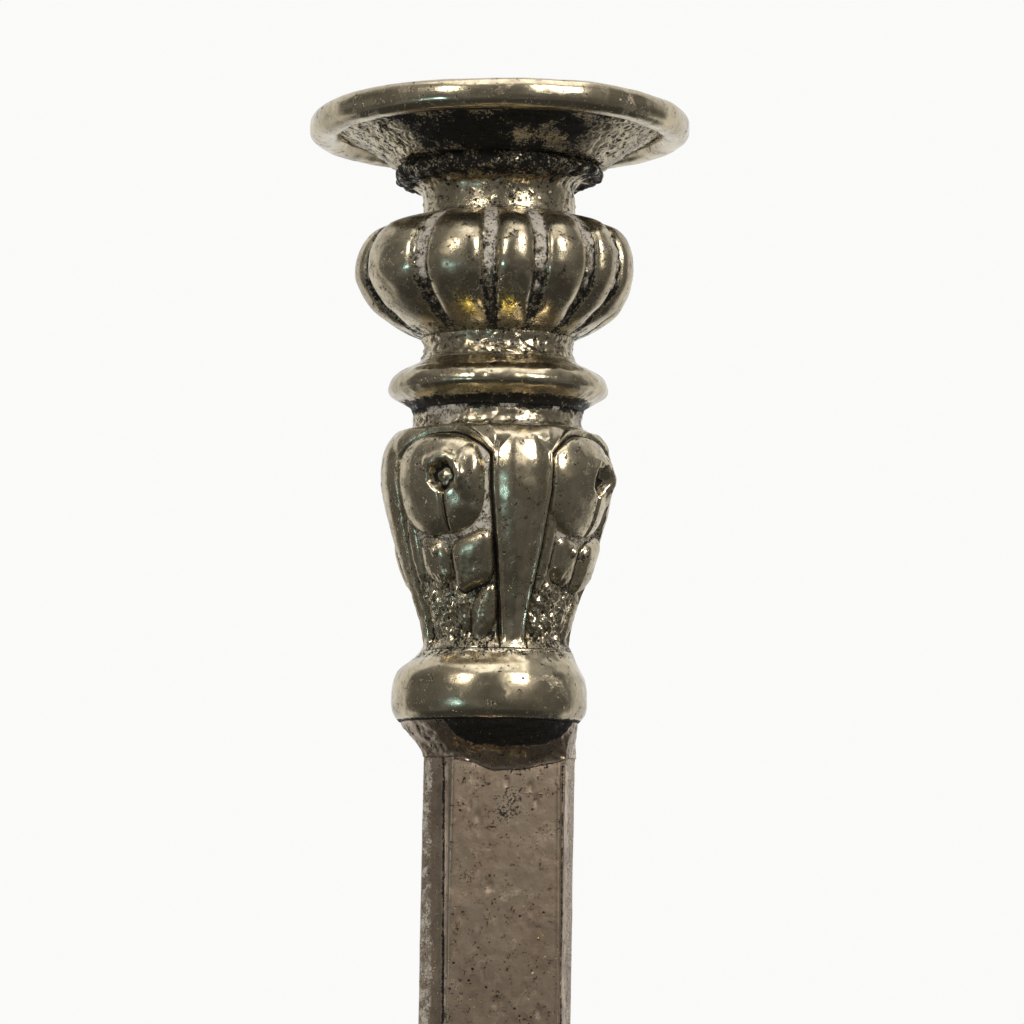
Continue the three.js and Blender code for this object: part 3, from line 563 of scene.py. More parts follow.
@dataclass(frozen=True)
class OldSilver(Finish):
    """Silver with tarnish, black specks, pits, scratches, dirt, painted shade, frosty deposit and
    gilding.

    Attributes:
        name: the material's name.
        bright: colour where handling keeps the metal clean.
        dull: colour under a thin brown-grey tarnish.
        roughness: roughness of the clean metal.
        specks: share of the surface that black specks cover, roughly.
        pitting: depth of the pits, in millimetres.
        grain: how strongly the skin is grained, in millimetres.
        soot_and_shade: the blackest dirt, and the painted shade.
        film_and_shade: the thinner, browner dirt, and the lighter painted shade.
        frost: the pale deposit.
        crust: dirt in the pale deposit.
        gold: the traces of gilding.
    """

    name: str = "old_silver"
    bright: Colour = (0.54, 0.465, 0.325)
    dull: Colour = (0.345, 0.29, 0.195)
    roughness: float = 0.15
    specks: float = 0.11
    pitting: float = 0.1
    grain: float = 0.008
    soot_and_shade: Colour = (0.004, 0.0036, 0.0028)
    film_and_shade: Colour = (0.015, 0.0125, 0.009)
    frost: Colour = (0.33, 0.295, 0.245)
    crust: Colour = (0.035, 0.03, 0.023)
    gold: Colour = (1.0, 0.8, 0.2)

    @staticmethod
    def _ragged(g: Graph, share: object, noise: object) -> bpy.types.NodeSocket:
        """Turns a soft field into patches with ragged edges."""
        return g.between(g.plus(share, g.times(noise, 2.6)), 1.72, 1.98)

    def _build(self, graph: Graph) -> bpy.types.Material:
        """Lays the silver's films and marks over each other.

        Args:
            graph: the new material's nodes.

        Returns:
            The material.
        """
        g = graph
        clouds = g.noise(9, 4, 0.6)
        mottle = g.noise(1.9, 6, 0.68)
        fine = g.noise(0.45, 4, 0.7)
        hollow = g.painted("hollow")
        tarnish = g.between(g.weighed(clouds, 0.6, mottle, 0.4), 0.38, 0.62)
        ridge = g.between(hollow, -0.1, -0.5)
        metal = g.mix(tarnish, self.bright, self.dull)
        metal = g.mix(g.times(ridge, 0.6), metal, self.bright)

        blend = g.weighed(fine, 0.55, mottle, 0.45)
        dots = g.between(blend, 0.66 - 0.7 * self.specks, 0.69 - 0.7 * self.specks)
        pits = g.between(g.cells(2.3), 0.14, 0.08)
        pits = g.times(pits, g.between(clouds, 0.5, 0.6))
        marks = g.larger(dots, pits)

        seep = g.plus(hollow, g.times(g.minus(blend, 0.5), 1.4))
        grime_and_shade = g.between(seep, 0.12, 0.5)
        # Adds the dirt and the painted shade that each piece carries.
        grime_and_shade = g.larger(grime_and_shade, self._ragged(g, g.painted("grime_and_shade"), blend))
        gilding = g.plus(g.times(g.painted("gilt"), 0.24), g.noise(0.55, 4, 0.6))
        gilding = g.between(gilding, 0.685, 0.71)
        # dirt holds the dirt, the painted shade and the specks, which darken the metal.
        dirt = g.larger(g.times(grime_and_shade, 0.93), g.times(marks, 0.85))
        dirt = g.times(dirt, g.between(gilding, 0, 1, 1, 0.15))

        scratch_a = g.cells(1, "DISTANCE_TO_EDGE", g.stretched((160, 160, 12), (0.4, 0.2, 0)))
        scratch_b = g.cells(1, "DISTANCE_TO_EDGE", g.stretched((14, 90, 150), (0.1, 0.5, 0.3)))
        lines = g.larger(g.between(scratch_a, 0.012, 0.004), g.between(scratch_b, 0.01, 0.003))
        lines = g.times(lines, g.between(g.noise(3.5, 3), 0.54, 0.64))

        metal = g.mix(gilding, metal, self.gold)
        # The colour of the dirt and of the painted shade.
        soot_and_shade = g.mix(g.between(fine, 0.35, 0.65), self.soot_and_shade, self.film_and_shade)
        colour = g.mix(g.between(dirt, 0, 0.85), metal, soot_and_shade)
        deposit = self._ragged(g, g.painted("frost"), blend)
        crust = g.mix(g.between(g.minus(fine, mottle), 0.0, 0.12), self.frost, self.crust)
        colour = g.mix(deposit, colour, crust)
        g.shade("Base Color", colour)

        covered = g.larger(dirt, deposit)
        g.shade("Metallic", g.between(covered, 0, 1, 1, 0.1))
        rough = g.between(tarnish, 0, 1, self.roughness, self.roughness + 0.1)
        rough = g.plus(rough, g.times(lines, 0.1))
        rough = g.plus(rough, g.times(covered, 0.35))
        g.shade("Roughness", rough)
        g.shade("Specular IOR Level", g.between(covered, 0, 1, 0.5, 0.12))

        skin = g.bump(g.noise(1.1, 5, 0.6), self.grain * 1.6)
        skin = g.bump(fine, self.grain, skin)
        skin = g.bump(g.between(marks, 0, 1, 1, 0), self.pitting, skin)
        skin = g.bump(g.between(lines, 0, 1, 1, 0), 0.006, skin)
        skin = g.bump(g.times(deposit, blend), 0.15, skin)
        g.shade("Normal", skin)
        return g.material


@dataclass(frozen=True)
class PlainStuff(Finish):
    """A mottled finish for what the silver hides.

    Attributes:
        name: the material's name.
        light: the lighter colour.
        dark: the darker colour.
        roughness: roughness of the lighter parts.
        metallic: 1 for metals.
        grain_mm: size of the mottling.
        relief_mm: depth of the grain.
        draw: how the grain is drawn out along each axis.
    """

    name: str
    light: Colour
    dark: Colour
    roughness: float
    metallic: float = 0.0
    grain_mm: float = 1.0
    relief_mm: float = 0.05
    draw: tuple[float, float, float] = (1, 1, 1)

    def _build(self, graph: Graph) -> bpy.types.Material:
        """Mixes the two colours by drawn-out noise.

        Args:
            graph: the new material's nodes.

        Returns:
            The material.
        """
        g = graph
        grain = g.noise(self.grain_mm, 6, 0.65, g.stretched(self.draw))
        stain = g.noise(self.grain_mm * 12, 3, 0.5)
        blend = g.weighed(grain, 0.7, stain, 0.3)
        g.shade("Base Color", g.mix(g.between(blend, 0.35, 0.65), self.light, self.dark))
        g.shade("Metallic", self.metallic)
        rough = g.between(grain, 0.3, 0.7, self.roughness, self.roughness * 0.75)
        g.shade("Roughness", rough)
        g.shade("Normal", g.bump(grain, self.relief_mm))
        return g.material


SMOOTH_SILVER = OldSilver()
CAST_SILVER = OldSilver("cast_silver", roughness=0.19, specks=0.14, pitting=0.14, grain=0.012)
ROUGH_SILVER = OldSilver("rough_silver", roughness=0.2, specks=0.17, pitting=0.2, grain=0.03)
COLUMN_SILVER = OldSilver("column_silver", (0.49, 0.38, 0.275), (0.27, 0.2, 0.142), 0.3, 0.13, 0.12, 0.02)
CAP_SILVER = OldSilver("cap_silver", (0.43, 0.34, 0.25), (0.27, 0.21, 0.15), 0.26, 0.17, 0.2, 0.03)
DULL_BRASS = PlainStuff("dull_brass", (0.56, 0.4, 0.17), (0.33, 0.22, 0.09), 0.35, 1.0, 0.8, 0.02)
DRAWN_STEEL = PlainStuff(
    "drawn_steel", (0.5, 0.5, 0.5), (0.2, 0.19, 0.18), 0.35, 1.0, 0.6, 0.02, (1, 1, 0.05)
)
PLASTER = PlainStuff("plaster", (0.7, 0.66, 0.58), (0.5, 0.46, 0.38), 0.95, 0.0, 1.5, 0.3)
BEECH = PlainStuff("beech", (0.55, 0.36, 0.2), (0.36, 0.21, 0.1), 0.6, 0.0, 0.7, 0.05, (0.06, 1, 1))


@dataclass(frozen=True)
class Baize(Finish):
    """Green wool baize with a short nap.

    Attributes:
        name: the material's name.
        light: colour of the nap's tips.
        dark: colour between them.
    """

    name: str = "green_baize"
    light: Colour = (0.05, 0.16, 0.075)
    dark: Colour = (0.015, 0.06, 0.028)

    def _build(self, graph: Graph) -> bpy.types.Material:
        """Mixes fibres and nap.

        Args:
            graph: the new material's nodes.

        Returns:
            The material.
        """
        g = graph
        fibres = g.noise(0.35, 6, 0.75)
        worn = g.noise(14, 3)
        g.shade("Base Color", g.mix(g.between(fibres, 0.35, 0.65), self.dark, self.light))
        g.shade("Roughness", g.between(worn, 0.3, 0.7, 0.98, 0.86))
        g.shade("Sheen Weight", 0.5)
        g.shade("Sheen Roughness", 0.4)
        g.shade("Normal", g.bump(fibres, 0.25))
        return g.material


GREEN_BAIZE = Baize()


# ---------------------------------------------------------------------------------------------
# Sub-assemblies
# ---------------------------------------------------------------------------------------------


@dataclass
class NodeBox:
    """Where a node of the frame stands.

    Attributes:
        name: the node's name.
    """

    name: str

    def __post_init__(self) -> None:
        """Reads the node's corners, largest radius, and heights of its bottom and top."""
        self.lowest, self.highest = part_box(self.name)
        self.radius = self.highest[0]
        self.bottom, self.top = self.lowest[2], self.highest[2]
        self.height = self.top - self.bottom

    def outline(self, shares: Sequence[Point], spigot: float = 0.0) -> list[Point]:
        """Turns shares of the largest radius and of the height into a smooth outline.

        Args:
            shares: radius and height of each point, as shares.
            spigot: how much of the height is a spigot, which the outline leaves out.

        Returns:
            The outline in metres.
        """
        tall = self.height - spigot
        return smooth_line([(self.radius * r, self.bottom + tall * h) for r, h in shares])

    def bored(self, radius: float, spigot: float = 0.0) -> list[Point]:
        """The hidden side of a piece with a plain hole through it."""
        return [(radius, self.bottom + (self.height - spigot)), (radius, self.bottom)]


def dents(seed: int, depth_mm: float, size_mm: float) -> Field:
    """A field of soft dents with finer hammering on it."""

    def push(surface: Surface) -> np.ndarray:
        """The dents' height at each place."""
        coarse, finer = surface.uneven(seed, size_mm), surface.uneven(seed + 1, size_mm * 0.4)
        return (coarse + 0.35 * finer) * depth_mm * MM

    return push


def pocks(seed: int, depth_mm: float, size_mm: float, share: float = 1.2) -> Field:
    """A field of scattered pits and blobs, as a rough casting has."""

    def push(surface: Surface) -> np.ndarray:
        """The pits' and blobs' height at each place."""
        value = surface.uneven(seed, size_mm)
        pits, blobs = np.clip(value - share, 0, 1), np.clip(-value - share, 0, 1)
        return -pits * depth_mm * MM + blobs * depth_mm * 0.7 * MM

    return push


@dataclass
class Nozzle:
    """The loose nozzle: a dished pan with a wire edge and the candle's tube.

    Attributes:
        wobble_mm: how far the pan's edge strays up and down.
        wall_mm: thickness of the pan.
        wire_points: corners of the wire's section.
    """

    wobble_mm: float = 0.35
    wall_mm: float = 1.4
    wire_points: int = 96

    def build(self) -> None:
        """Makes the pan, its wire and the tube."""
        self._wire().make(SMOOTH_SILVER)
        self._pan().make(ROUGH_SILVER)
        self._tube().make(SMOOTH_SILVER)

    def _wobble(self, surface: Surface) -> np.ndarray:
        """How far the edge strays up and down, by the angle round it."""
        turn = np.radians(surface.angle)
        wave = 0.6 * np.sin(turn + 0.5) + 0.5 * np.sin(2 * turn + 2.1) + 0.25 * np.sin(5 * turn)
        wave *= step_up(surface.radius, 22 * MM, 32 * MM) * self.wobble_mm * MM
        return wave[:, None] * np.array([0, 0, 1])

    def _wire(self) -> TurnedPiece:
        """The thick edge, a little flattened outside."""
        box = NodeBox("drip_pan_rim")
        half = box.height / 2
        middle, middle_height = box.radius - half, (box.bottom + box.top) / 2
        ring = []
        for step in range(self.wire_points):
            turn = math.tau * step / self.wire_points - math.pi / 2
            out, up = (math.copysign(abs(way) ** 0.8, way) for way in (math.cos(turn), math.sin(turn)))
            ring.append((middle + half * out, middle_height + half * up))

        def inner_corner_shade(surface: Surface) -> np.ndarray:
            """Painted shade in the corner between wire and pan, at the front."""
            inside = step_up(surface.radius, box.radius * 0.925, box.radius * 0.9)
            return inside * step_up(np.abs(surface.off(-13)), 58, 36) * 0.9

        return TurnedPiece(
            "pan_wire_edge", ("drip_pan_rim",), "worn_silver", Body.NOZZLE, ring, [],
            around=416, spacing_mm=0.3, shift=self._wobble,
            push=[dents(11, 0.05, 12), dents(12, 0.005, 2.5)],
            paint={"grime_and_shade": inner_corner_shade},
        )

    def _pan(self) -> TurnedPiece:
        """The dished pan, rough-cast below, with turning steps."""
        box = NodeBox("drip_pan")
        wall = self.wall_mm * MM
        seat = NodeBox("candle_socket").radius * 0.965
        hole = NodeBox("nozzle_sleeve").lowest[0] * -0.87
        edge_low = box.top - wall
        below = smooth_line(
            [
                (hole, box.bottom),
                (seat * 0.96, box.bottom),
                (seat * 1.06, box.bottom + 0.3 * MM),
                (box.radius * 0.78, box.bottom + (edge_low - box.bottom) * 0.42),
                (box.radius * 0.9, box.bottom + (edge_low - box.bottom) * 0.76),
                (box.radius, edge_low - 0.1 * MM),
            ],
            10,
        )
        above = [(radius, height + wall) for radius, height in reversed(below)]

        def underneath(surface: Surface) -> np.ndarray:
            """1 on the pan's underside, 0 above."""
            return step_up(surface.along, 0.5, 0.46)

        def turning_steps(surface: Surface) -> np.ndarray:
            """The rings that turning left."""
            radius = surface.radius / MM + 0.12 * surface.uneven(16, 9)
            return (np.sin(radius * 2.6) + 0.6 * np.sin(radius * 5.3 + 1)) * 0.07 * MM

        def rough_zones(surface: Surface) -> np.ndarray:
            """1 where the underside was left rough."""
            zones = sum(step_up(np.abs(surface.off(middle)), 46, 22) for middle in (66, -92, 190))
            return zones * underneath(surface)

        def chiselled(surface: Surface) -> np.ndarray:
            """Sideways chisel marks in the rough zones."""
            streaks = surface.places @ np.array([[0.8, 0.25, 0], [-0.25, 0.3, 0], [0, 0, 1]])
            relief = Unevenness(17, 1.5, 60).at(streaks) + 0.8 * surface.uneven(18, 0.9, 60)
            return relief * rough_zones(surface) * 0.07 * MM

        def underside_shade_and_dirt(surface: Surface) -> np.ndarray:
            """Painted shade and dirt underneath, thinner in the rough zones."""
            groove = step_up(surface.radius, box.radius * 0.92, box.radius * 0.98) * 0.95
            front = 0.8 + 0.16 * surface.uneven(19, 7)
            clean = 1 - np.clip(rough_zones(surface), 0, 1) * 0.6
            return np.maximum(groove, front) * clean * underneath(surface)

        return TurnedPiece(
            "dished_pan", ("drip_pan",), "worn_silver", Body.NOZZLE,
            evenly(below, 0.25 * MM) + evenly(above, 0.4 * MM), [],
            around=480, spacing_mm=0.3, shift=self._wobble,
            push=[turning_steps, chiselled, dents(13, 0.05, 7)],
            paint={"grime_and_shade": underside_shade_and_dirt},
        )

    def _tube(self) -> TurnedPiece:
        """The candle's tube with its beaded mouth."""
        box = NodeBox("nozzle_sleeve")
        bead_low = NodeBox("drip_pan").bottom + self.wall_mm * MM + 0.05 * MM
        outer = box.radius
        tube = outer - 1.9 * MM
        bore = tube - 0.6 * MM
        mouth = smooth_line(
            [
                (tube, bead_low),
                (outer * 0.985, bead_low),
                (outer, bead_low + (box.top - bead_low) * 0.45),
                (outer - 0.7 * MM, box.top - 0.05 * MM),
                (bore + 0.5 * MM, box.top),
                (bore, box.top - 0.5 * MM),
            ],
            8,
        )
        return TurnedPiece(
            "candle_tube", ("nozzle_sleeve",), "worn_silver", Body.NOZZLE,
            mouth + [(bore, box.bottom)], [(tube, box.bottom)],
            around=256, push=[dents(15, 0.02, 4)],
            paint={"grime_and_shade": lambda s: step_up(s.rise, 0.75, 0.2) * 0.5},
        )


@dataclass
class Socket:
    """The candle socket: a stepped lip, a cove and a neck, with the brass cup inside.

    Attributes:
        cup_below_mm: how far the candle's seat lies below the neck.
    """

    cup_below_mm: float = 17.85

    def build(self) -> None:
        """Makes the socket and its cup."""
        self._neck().make(ROUGH_SILVER)
        self._cup().make(DULL_BRASS)

    def _neck(self) -> TurnedPiece:
        """The neck and lip, left rough where they were joined to the pan."""
        box = NodeBox("candle_socket")
        shares = [
            (0.75, 0.0), (0.735, 0.12), (0.735, 0.35), (0.745, 0.46), (0.77, 0.55), (0.83, 0.61),
            (0.91, 0.665), (0.975, 0.72), (1.0, 0.82), (0.99, 0.93), (0.96, 1.0),
        ]
        return TurnedPiece(
            "stepped_socket", ("candle_socket",), "cast_silver", Body.STICK,
            box.outline(shares), box.bored(NodeBox("socket_liner").radius + 0.15 * MM),
            around=384, spacing_mm=0.22, push=[self._blobs, dents(21, 0.025, 5)],
            # Dirt on the lip, and painted shade towards the top, under the pan.
            paint={"grime_and_shade": lambda s: step_up(s.rise, 0.5, 0.66) * 0.7},
        )

    def _blobs(self, surface: Surface) -> np.ndarray:
        """Lumps of solder along the lip and cove, and the lip worn thin at the right."""
        rough = step_up(surface.rise, 0.42, 0.6)
        lumps = surface.uneven(22, 3.2) + 0.4 * surface.uneven(23, 1.3)
        cluster = step_up(np.abs(surface.rise - 0.33), 0.3, 0.05)
        drops = np.clip(surface.uneven(25, 1.5) - 1.4, 0, 1)
        thin = hump(surface.off(78), 38) * hump(surface.rise - 0.62, 0.13)
        return (lumps * rough * 0.14 + drops * cluster * 0.3 - thin * 1.7) * MM

    def _cup(self) -> TurnedPiece:
        """The brass cup, stained by wax, with the boss that the rod screws into."""
        box = NodeBox("socket_liner")
        bore = box.radius - 0.6 * MM
        floor = NodeBox("candle_socket").bottom - self.cup_below_mm * MM
        seat, step = 10.7 * MM, 0.5 * MM
        line = [(box.radius, box.top), (bore, box.top), (bore, floor - step), (seat, floor - step)]
        line += [(seat, floor), (0, floor)]
        under, hole, boss = floor - 1.5 * MM, 2.6 * MM, 5 * MM
        hidden = [(0, floor - 0.6 * MM), (hole, floor - 0.6 * MM), (hole, box.bottom), (boss, box.bottom)]
        hidden += [(boss, under), (box.radius, under)]
        return TurnedPiece(
            "brass_cup", ("socket_liner",), "tinned_brass", Body.STICK, line, hidden,
            around=160, spacing_mm=0.7, push=[dents(24, 0.01, 3)],
        )


@dataclass
class Knop:
    """The bulb with uneven lobes, and the rough waisted neck under it.

    Attributes:
        grooves: where the grooves lie, in degrees round from the front.
        usual_pitch: the usual angle between two grooves, in degrees.
        groove_mm: depth of the grooves.
        lobe_share: share of the way between two grooves' middles that a lobe fills.
        rough_mm: how rough the grooves' floors are.
        aside_mm: how far the bulb's belly sits to the left, as it was cast.
    """

    grooves: tuple[float, ...] = (
        -47.5, -18.4, 4.9, 31.1, 51.7, 75, 100, 125, 150, 175, 200, 224, 248, 273,
    )
    usual_pitch: float = 25
    groove_mm: float = 1.6
    lobe_share: float = 0.72
    rough_mm: float = 0.12
    aside_mm: float = 0.65

    def build(self) -> None:
        """Makes the bulb and the neck."""
        self._bulb().make(CAST_SILVER)
        self._stem().make(ROUGH_SILVER)

    def _across(self, surface: Surface) -> tuple[np.ndarray, np.ndarray]:
        """Finds each place's lobe.

        Args:
            surface: the bulb's skin.

        Returns:
            The distance from the lobe's middle and the lobe's half width, as shares of half its pitch.
        """
        edges = np.array([*self.grooves, self.grooves[0] + 360])
        sway = surface.uneven(31, 26) * 0.8
        angle = (surface.angle + sway - edges[0]) % 360 + edges[0]
        lobe = np.clip(np.searchsorted(edges, angle, side="right") - 1, 0, len(self.grooves) - 1)
        pitch = edges[lobe + 1] - edges[lobe]
        middle = (edges[lobe + 1] + edges[lobe]) / 2
        grooves = (1 - self.lobe_share) * self.usual_pitch / pitch * (0.62 + 0.5 * surface.rise)
        return np.abs(angle - middle) / (pitch / 2), 1 - grooves

    def _lobes(self, surface: Surface) -> np.ndarray:
        """Sinks the grooves and leaves the lobes round, fading out at the bulb's two ends."""
        off, width = self._across(surface)
        rough_floor = step_up(off, width - 0.05, width + 0.05) * surface.uneven(36, 2)
        fade = step_up(surface.rise, 0.02, 0.2) * step_up(surface.rise, 1.0, 0.86)
        sunk = (1 - lobe_height(off / width)) * self.groove_mm
        return (rough_floor * self.rough_mm - sunk) * MM * fade

    def _in_groove(self, surface: Surface, inset: float) -> np.ndarray:
        """1 on a groove's floor, 0 on the lobes, with the floor's edges drawn in by a share."""
        off, width = self._across(surface)
        return step_up(off, width - 0.2 + inset, width + 0.04 + inset)

    def _aside(self, surface: Surface) -> np.ndarray:
        """Sets the bulb's belly a little to the left."""
        return np.sin(np.pi * surface.rise)[:, None] * np.array([-self.aside_mm, 0, 0]) * MM

    def _deposit(self, surface: Surface) -> np.ndarray:
        """The pale deposit on the grooves' floors, strongest at the top."""
        patches = surface.uneven(37, 4) * 0.12
        return self._in_groove(surface, 0.1) * step_up(surface.rise + patches, -0.05, 0.72) * 0.85

    def _groove_dirt_and_shade(self, surface: Surface) -> np.ndarray:
        """Dirt along the grooves' sides, and painted shade low in the grooves and round the bulb's foot.
        """
        low = step_up(surface.rise, 0.62, 0.3)
        foot = step_up(surface.rise, 0.14, 0.04) * 0.5
        return np.maximum(self._in_groove(surface, -0.05) * (0.42 + 0.26 * low), foot)

    def _gold(self, surface: Surface) -> np.ndarray:
        """Two traces of gilding low on the front."""
        spots = sum(hump(surface.off(middle), 5.5) for middle in (-29.5, -8.5))
        return np.clip(hump(surface.rise - 0.17, 0.11) * spots, 0, 1)

    def _bulb(self) -> TurnedPiece:
        """The lobed bulb."""
        box = NodeBox("lobed_knop")
        shares = [
            (0.545, 0.0), (0.643, 0.05), (0.725, 0.1), (0.793, 0.15), (0.862, 0.21), (0.925, 0.3),
            (0.975, 0.4), (1.0, 0.5), (1.0, 0.63), (0.985, 0.71), (0.955, 0.79), (0.92, 0.85),
            (0.865, 0.905), (0.765, 0.95), (0.65, 0.985),
            (NodeBox("candle_socket").radius * 0.75 / box.radius, 1.0),
        ]
        bore, floor = NodeBox("socket_liner").radius + 0.15 * MM, box.bottom + 2.4 * MM
        return TurnedPiece(
            "gadrooned_bulb", ("lobed_knop",), "cast_silver", Body.STICK, box.outline(shares),
            [(bore, box.top), (bore, floor), (BOSS_HOLE, floor), (BOSS_HOLE, box.bottom)],
            around=544, spacing_mm=0.38, shift=self._aside,
            push=[self._lobes, dents(32, 0.035, 6), dents(33, 0.004, 1.8)],
            paint={"frost": self._deposit, "grime_and_shade": self._groove_dirt_and_shade, "gilt": self._gold},
        )

    def _stem(self) -> TurnedPiece:
        """The short neck."""
        box = NodeBox("knop_stem")
        shares = [(1.0, 0), (0.965, 0.3), (0.955, 0.6), (0.975, 0.85), (0.985, 1.0)]
        return TurnedPiece(
            "waisted_neck", ("knop_stem",), "cast_silver", Body.STICK,
            box.outline(shares, SPIGOT), box.bored(BOSS_HOLE, SPIGOT),
            spacing_mm=0.2, push=[dents(34, 0.08, 3.4), pocks(35, 0.2, 1.8, 0.9)],
            # Dirt, and painted shade towards the top, under the bulb.
            paint={"grime_and_shade": lambda s: step_up(s.rise, 0.6, 0.95) * 0.45},
        )


class Mouldings:
    """The thin-edged disc and the plain ring under it."""

    def build(self) -> None:
        """Makes the disc and the ring."""
        self._disc().make(SMOOTH_SILVER)
        self._ring().make(ROUGH_SILVER)

    def _disc(self) -> TurnedPiece:
        """The disc, with a rolled top and an undercut."""
        box = NodeBox("disc_moulding")
        shares = [
            (0.785, 0.0), (0.8, 0.08), (0.86, 0.17), (0.94, 0.26), (0.992, 0.34), (1.008, 0.42),
            (1.0, 0.52), (0.97, 0.64), (0.915, 0.74), (0.84, 0.82), (0.77, 0.89), (0.725, 0.95),
            (0.712, 1.0),
        ]

        def corners(surface: Surface) -> np.ndarray:
            """Painted shade under the disc's edge, and dirt round its top."""
            undercut, top = step_up(surface.rise, 0.3, 0.1), step_up(surface.rise, 0.75, 0.95)
            return np.maximum(undercut * 0.8, top * 0.4)

        return TurnedPiece(
            "thin_edged_disc", ("disc_moulding",), "cast_silver", Body.STICK,
            box.outline(shares, SPIGOT), box.bored(ROD_HOLE, SPIGOT),
            around=416, spacing_mm=0.18, push=[dents(41, 0.045, 6), dents(42, 0.006, 1.6)],
            paint={"grime_and_shade": corners},
        )

    def _ring(self) -> TurnedPiece:
        """The rough ring above the baluster."""
        box = NodeBox("shoulder_ring")
        shares = [(1.0, 0.0), (0.97, 0.2), (0.955, 0.5), (0.96, 0.8), (0.965, 1.0)]
        return TurnedPiece(
            "plain_ring", ("shoulder_ring",), "cast_silver", Body.STICK,
            box.outline(shares, SPIGOT), box.bored(ROD_HOLE, SPIGOT),
            spacing_mm=0.2, push=[dents(43, 0.08, 3.4), pocks(44, 0.16, 2)],
            paint={
                "frost": lambda s: step_up(s.uneven(45, 6), -0.6, 1.6) * 0.7,
                # Dirt all round, and painted shade towards the top, under the disc.
                "grime_and_shade": lambda s: 0.25 + 0.6 * step_up(s.rise, 0.55, 0.95),
            },
        )


@dataclass(frozen=True)
class Swelling:
    """A raised pad of a leaf.

    Attributes:
        across: its middle, as a share of the leaf's half width.
        up: its middle, as a share of the baluster's height.
        half_width: its half width in the same shares.
        half_height: its half height in the same shares.
        proud_mm: how far it stands out.
        lean: how far it leans, up for each share across.
        squareness: 2 for an oval, more for a block.
    """

    across: float
    up: float
    half_width: float
    half_height: float
    proud_mm: float
    lean: float = 0.0
    squareness: float = 2.6

    def at(self, across: np.ndarray, up: np.ndarray) -> np.ndarray:
        """Height of the pad at each place of the leaf, in metres."""
        du = np.abs(across - self.across) / self.half_width
        dv = np.abs(up - self.up - self.lean * (across - self.across)) / self.half_height
        inside = 1 - du**self.squareness - dv**self.squareness
        return np.clip(inside, 0, 1) ** 0.62 * self.proud_mm * MM


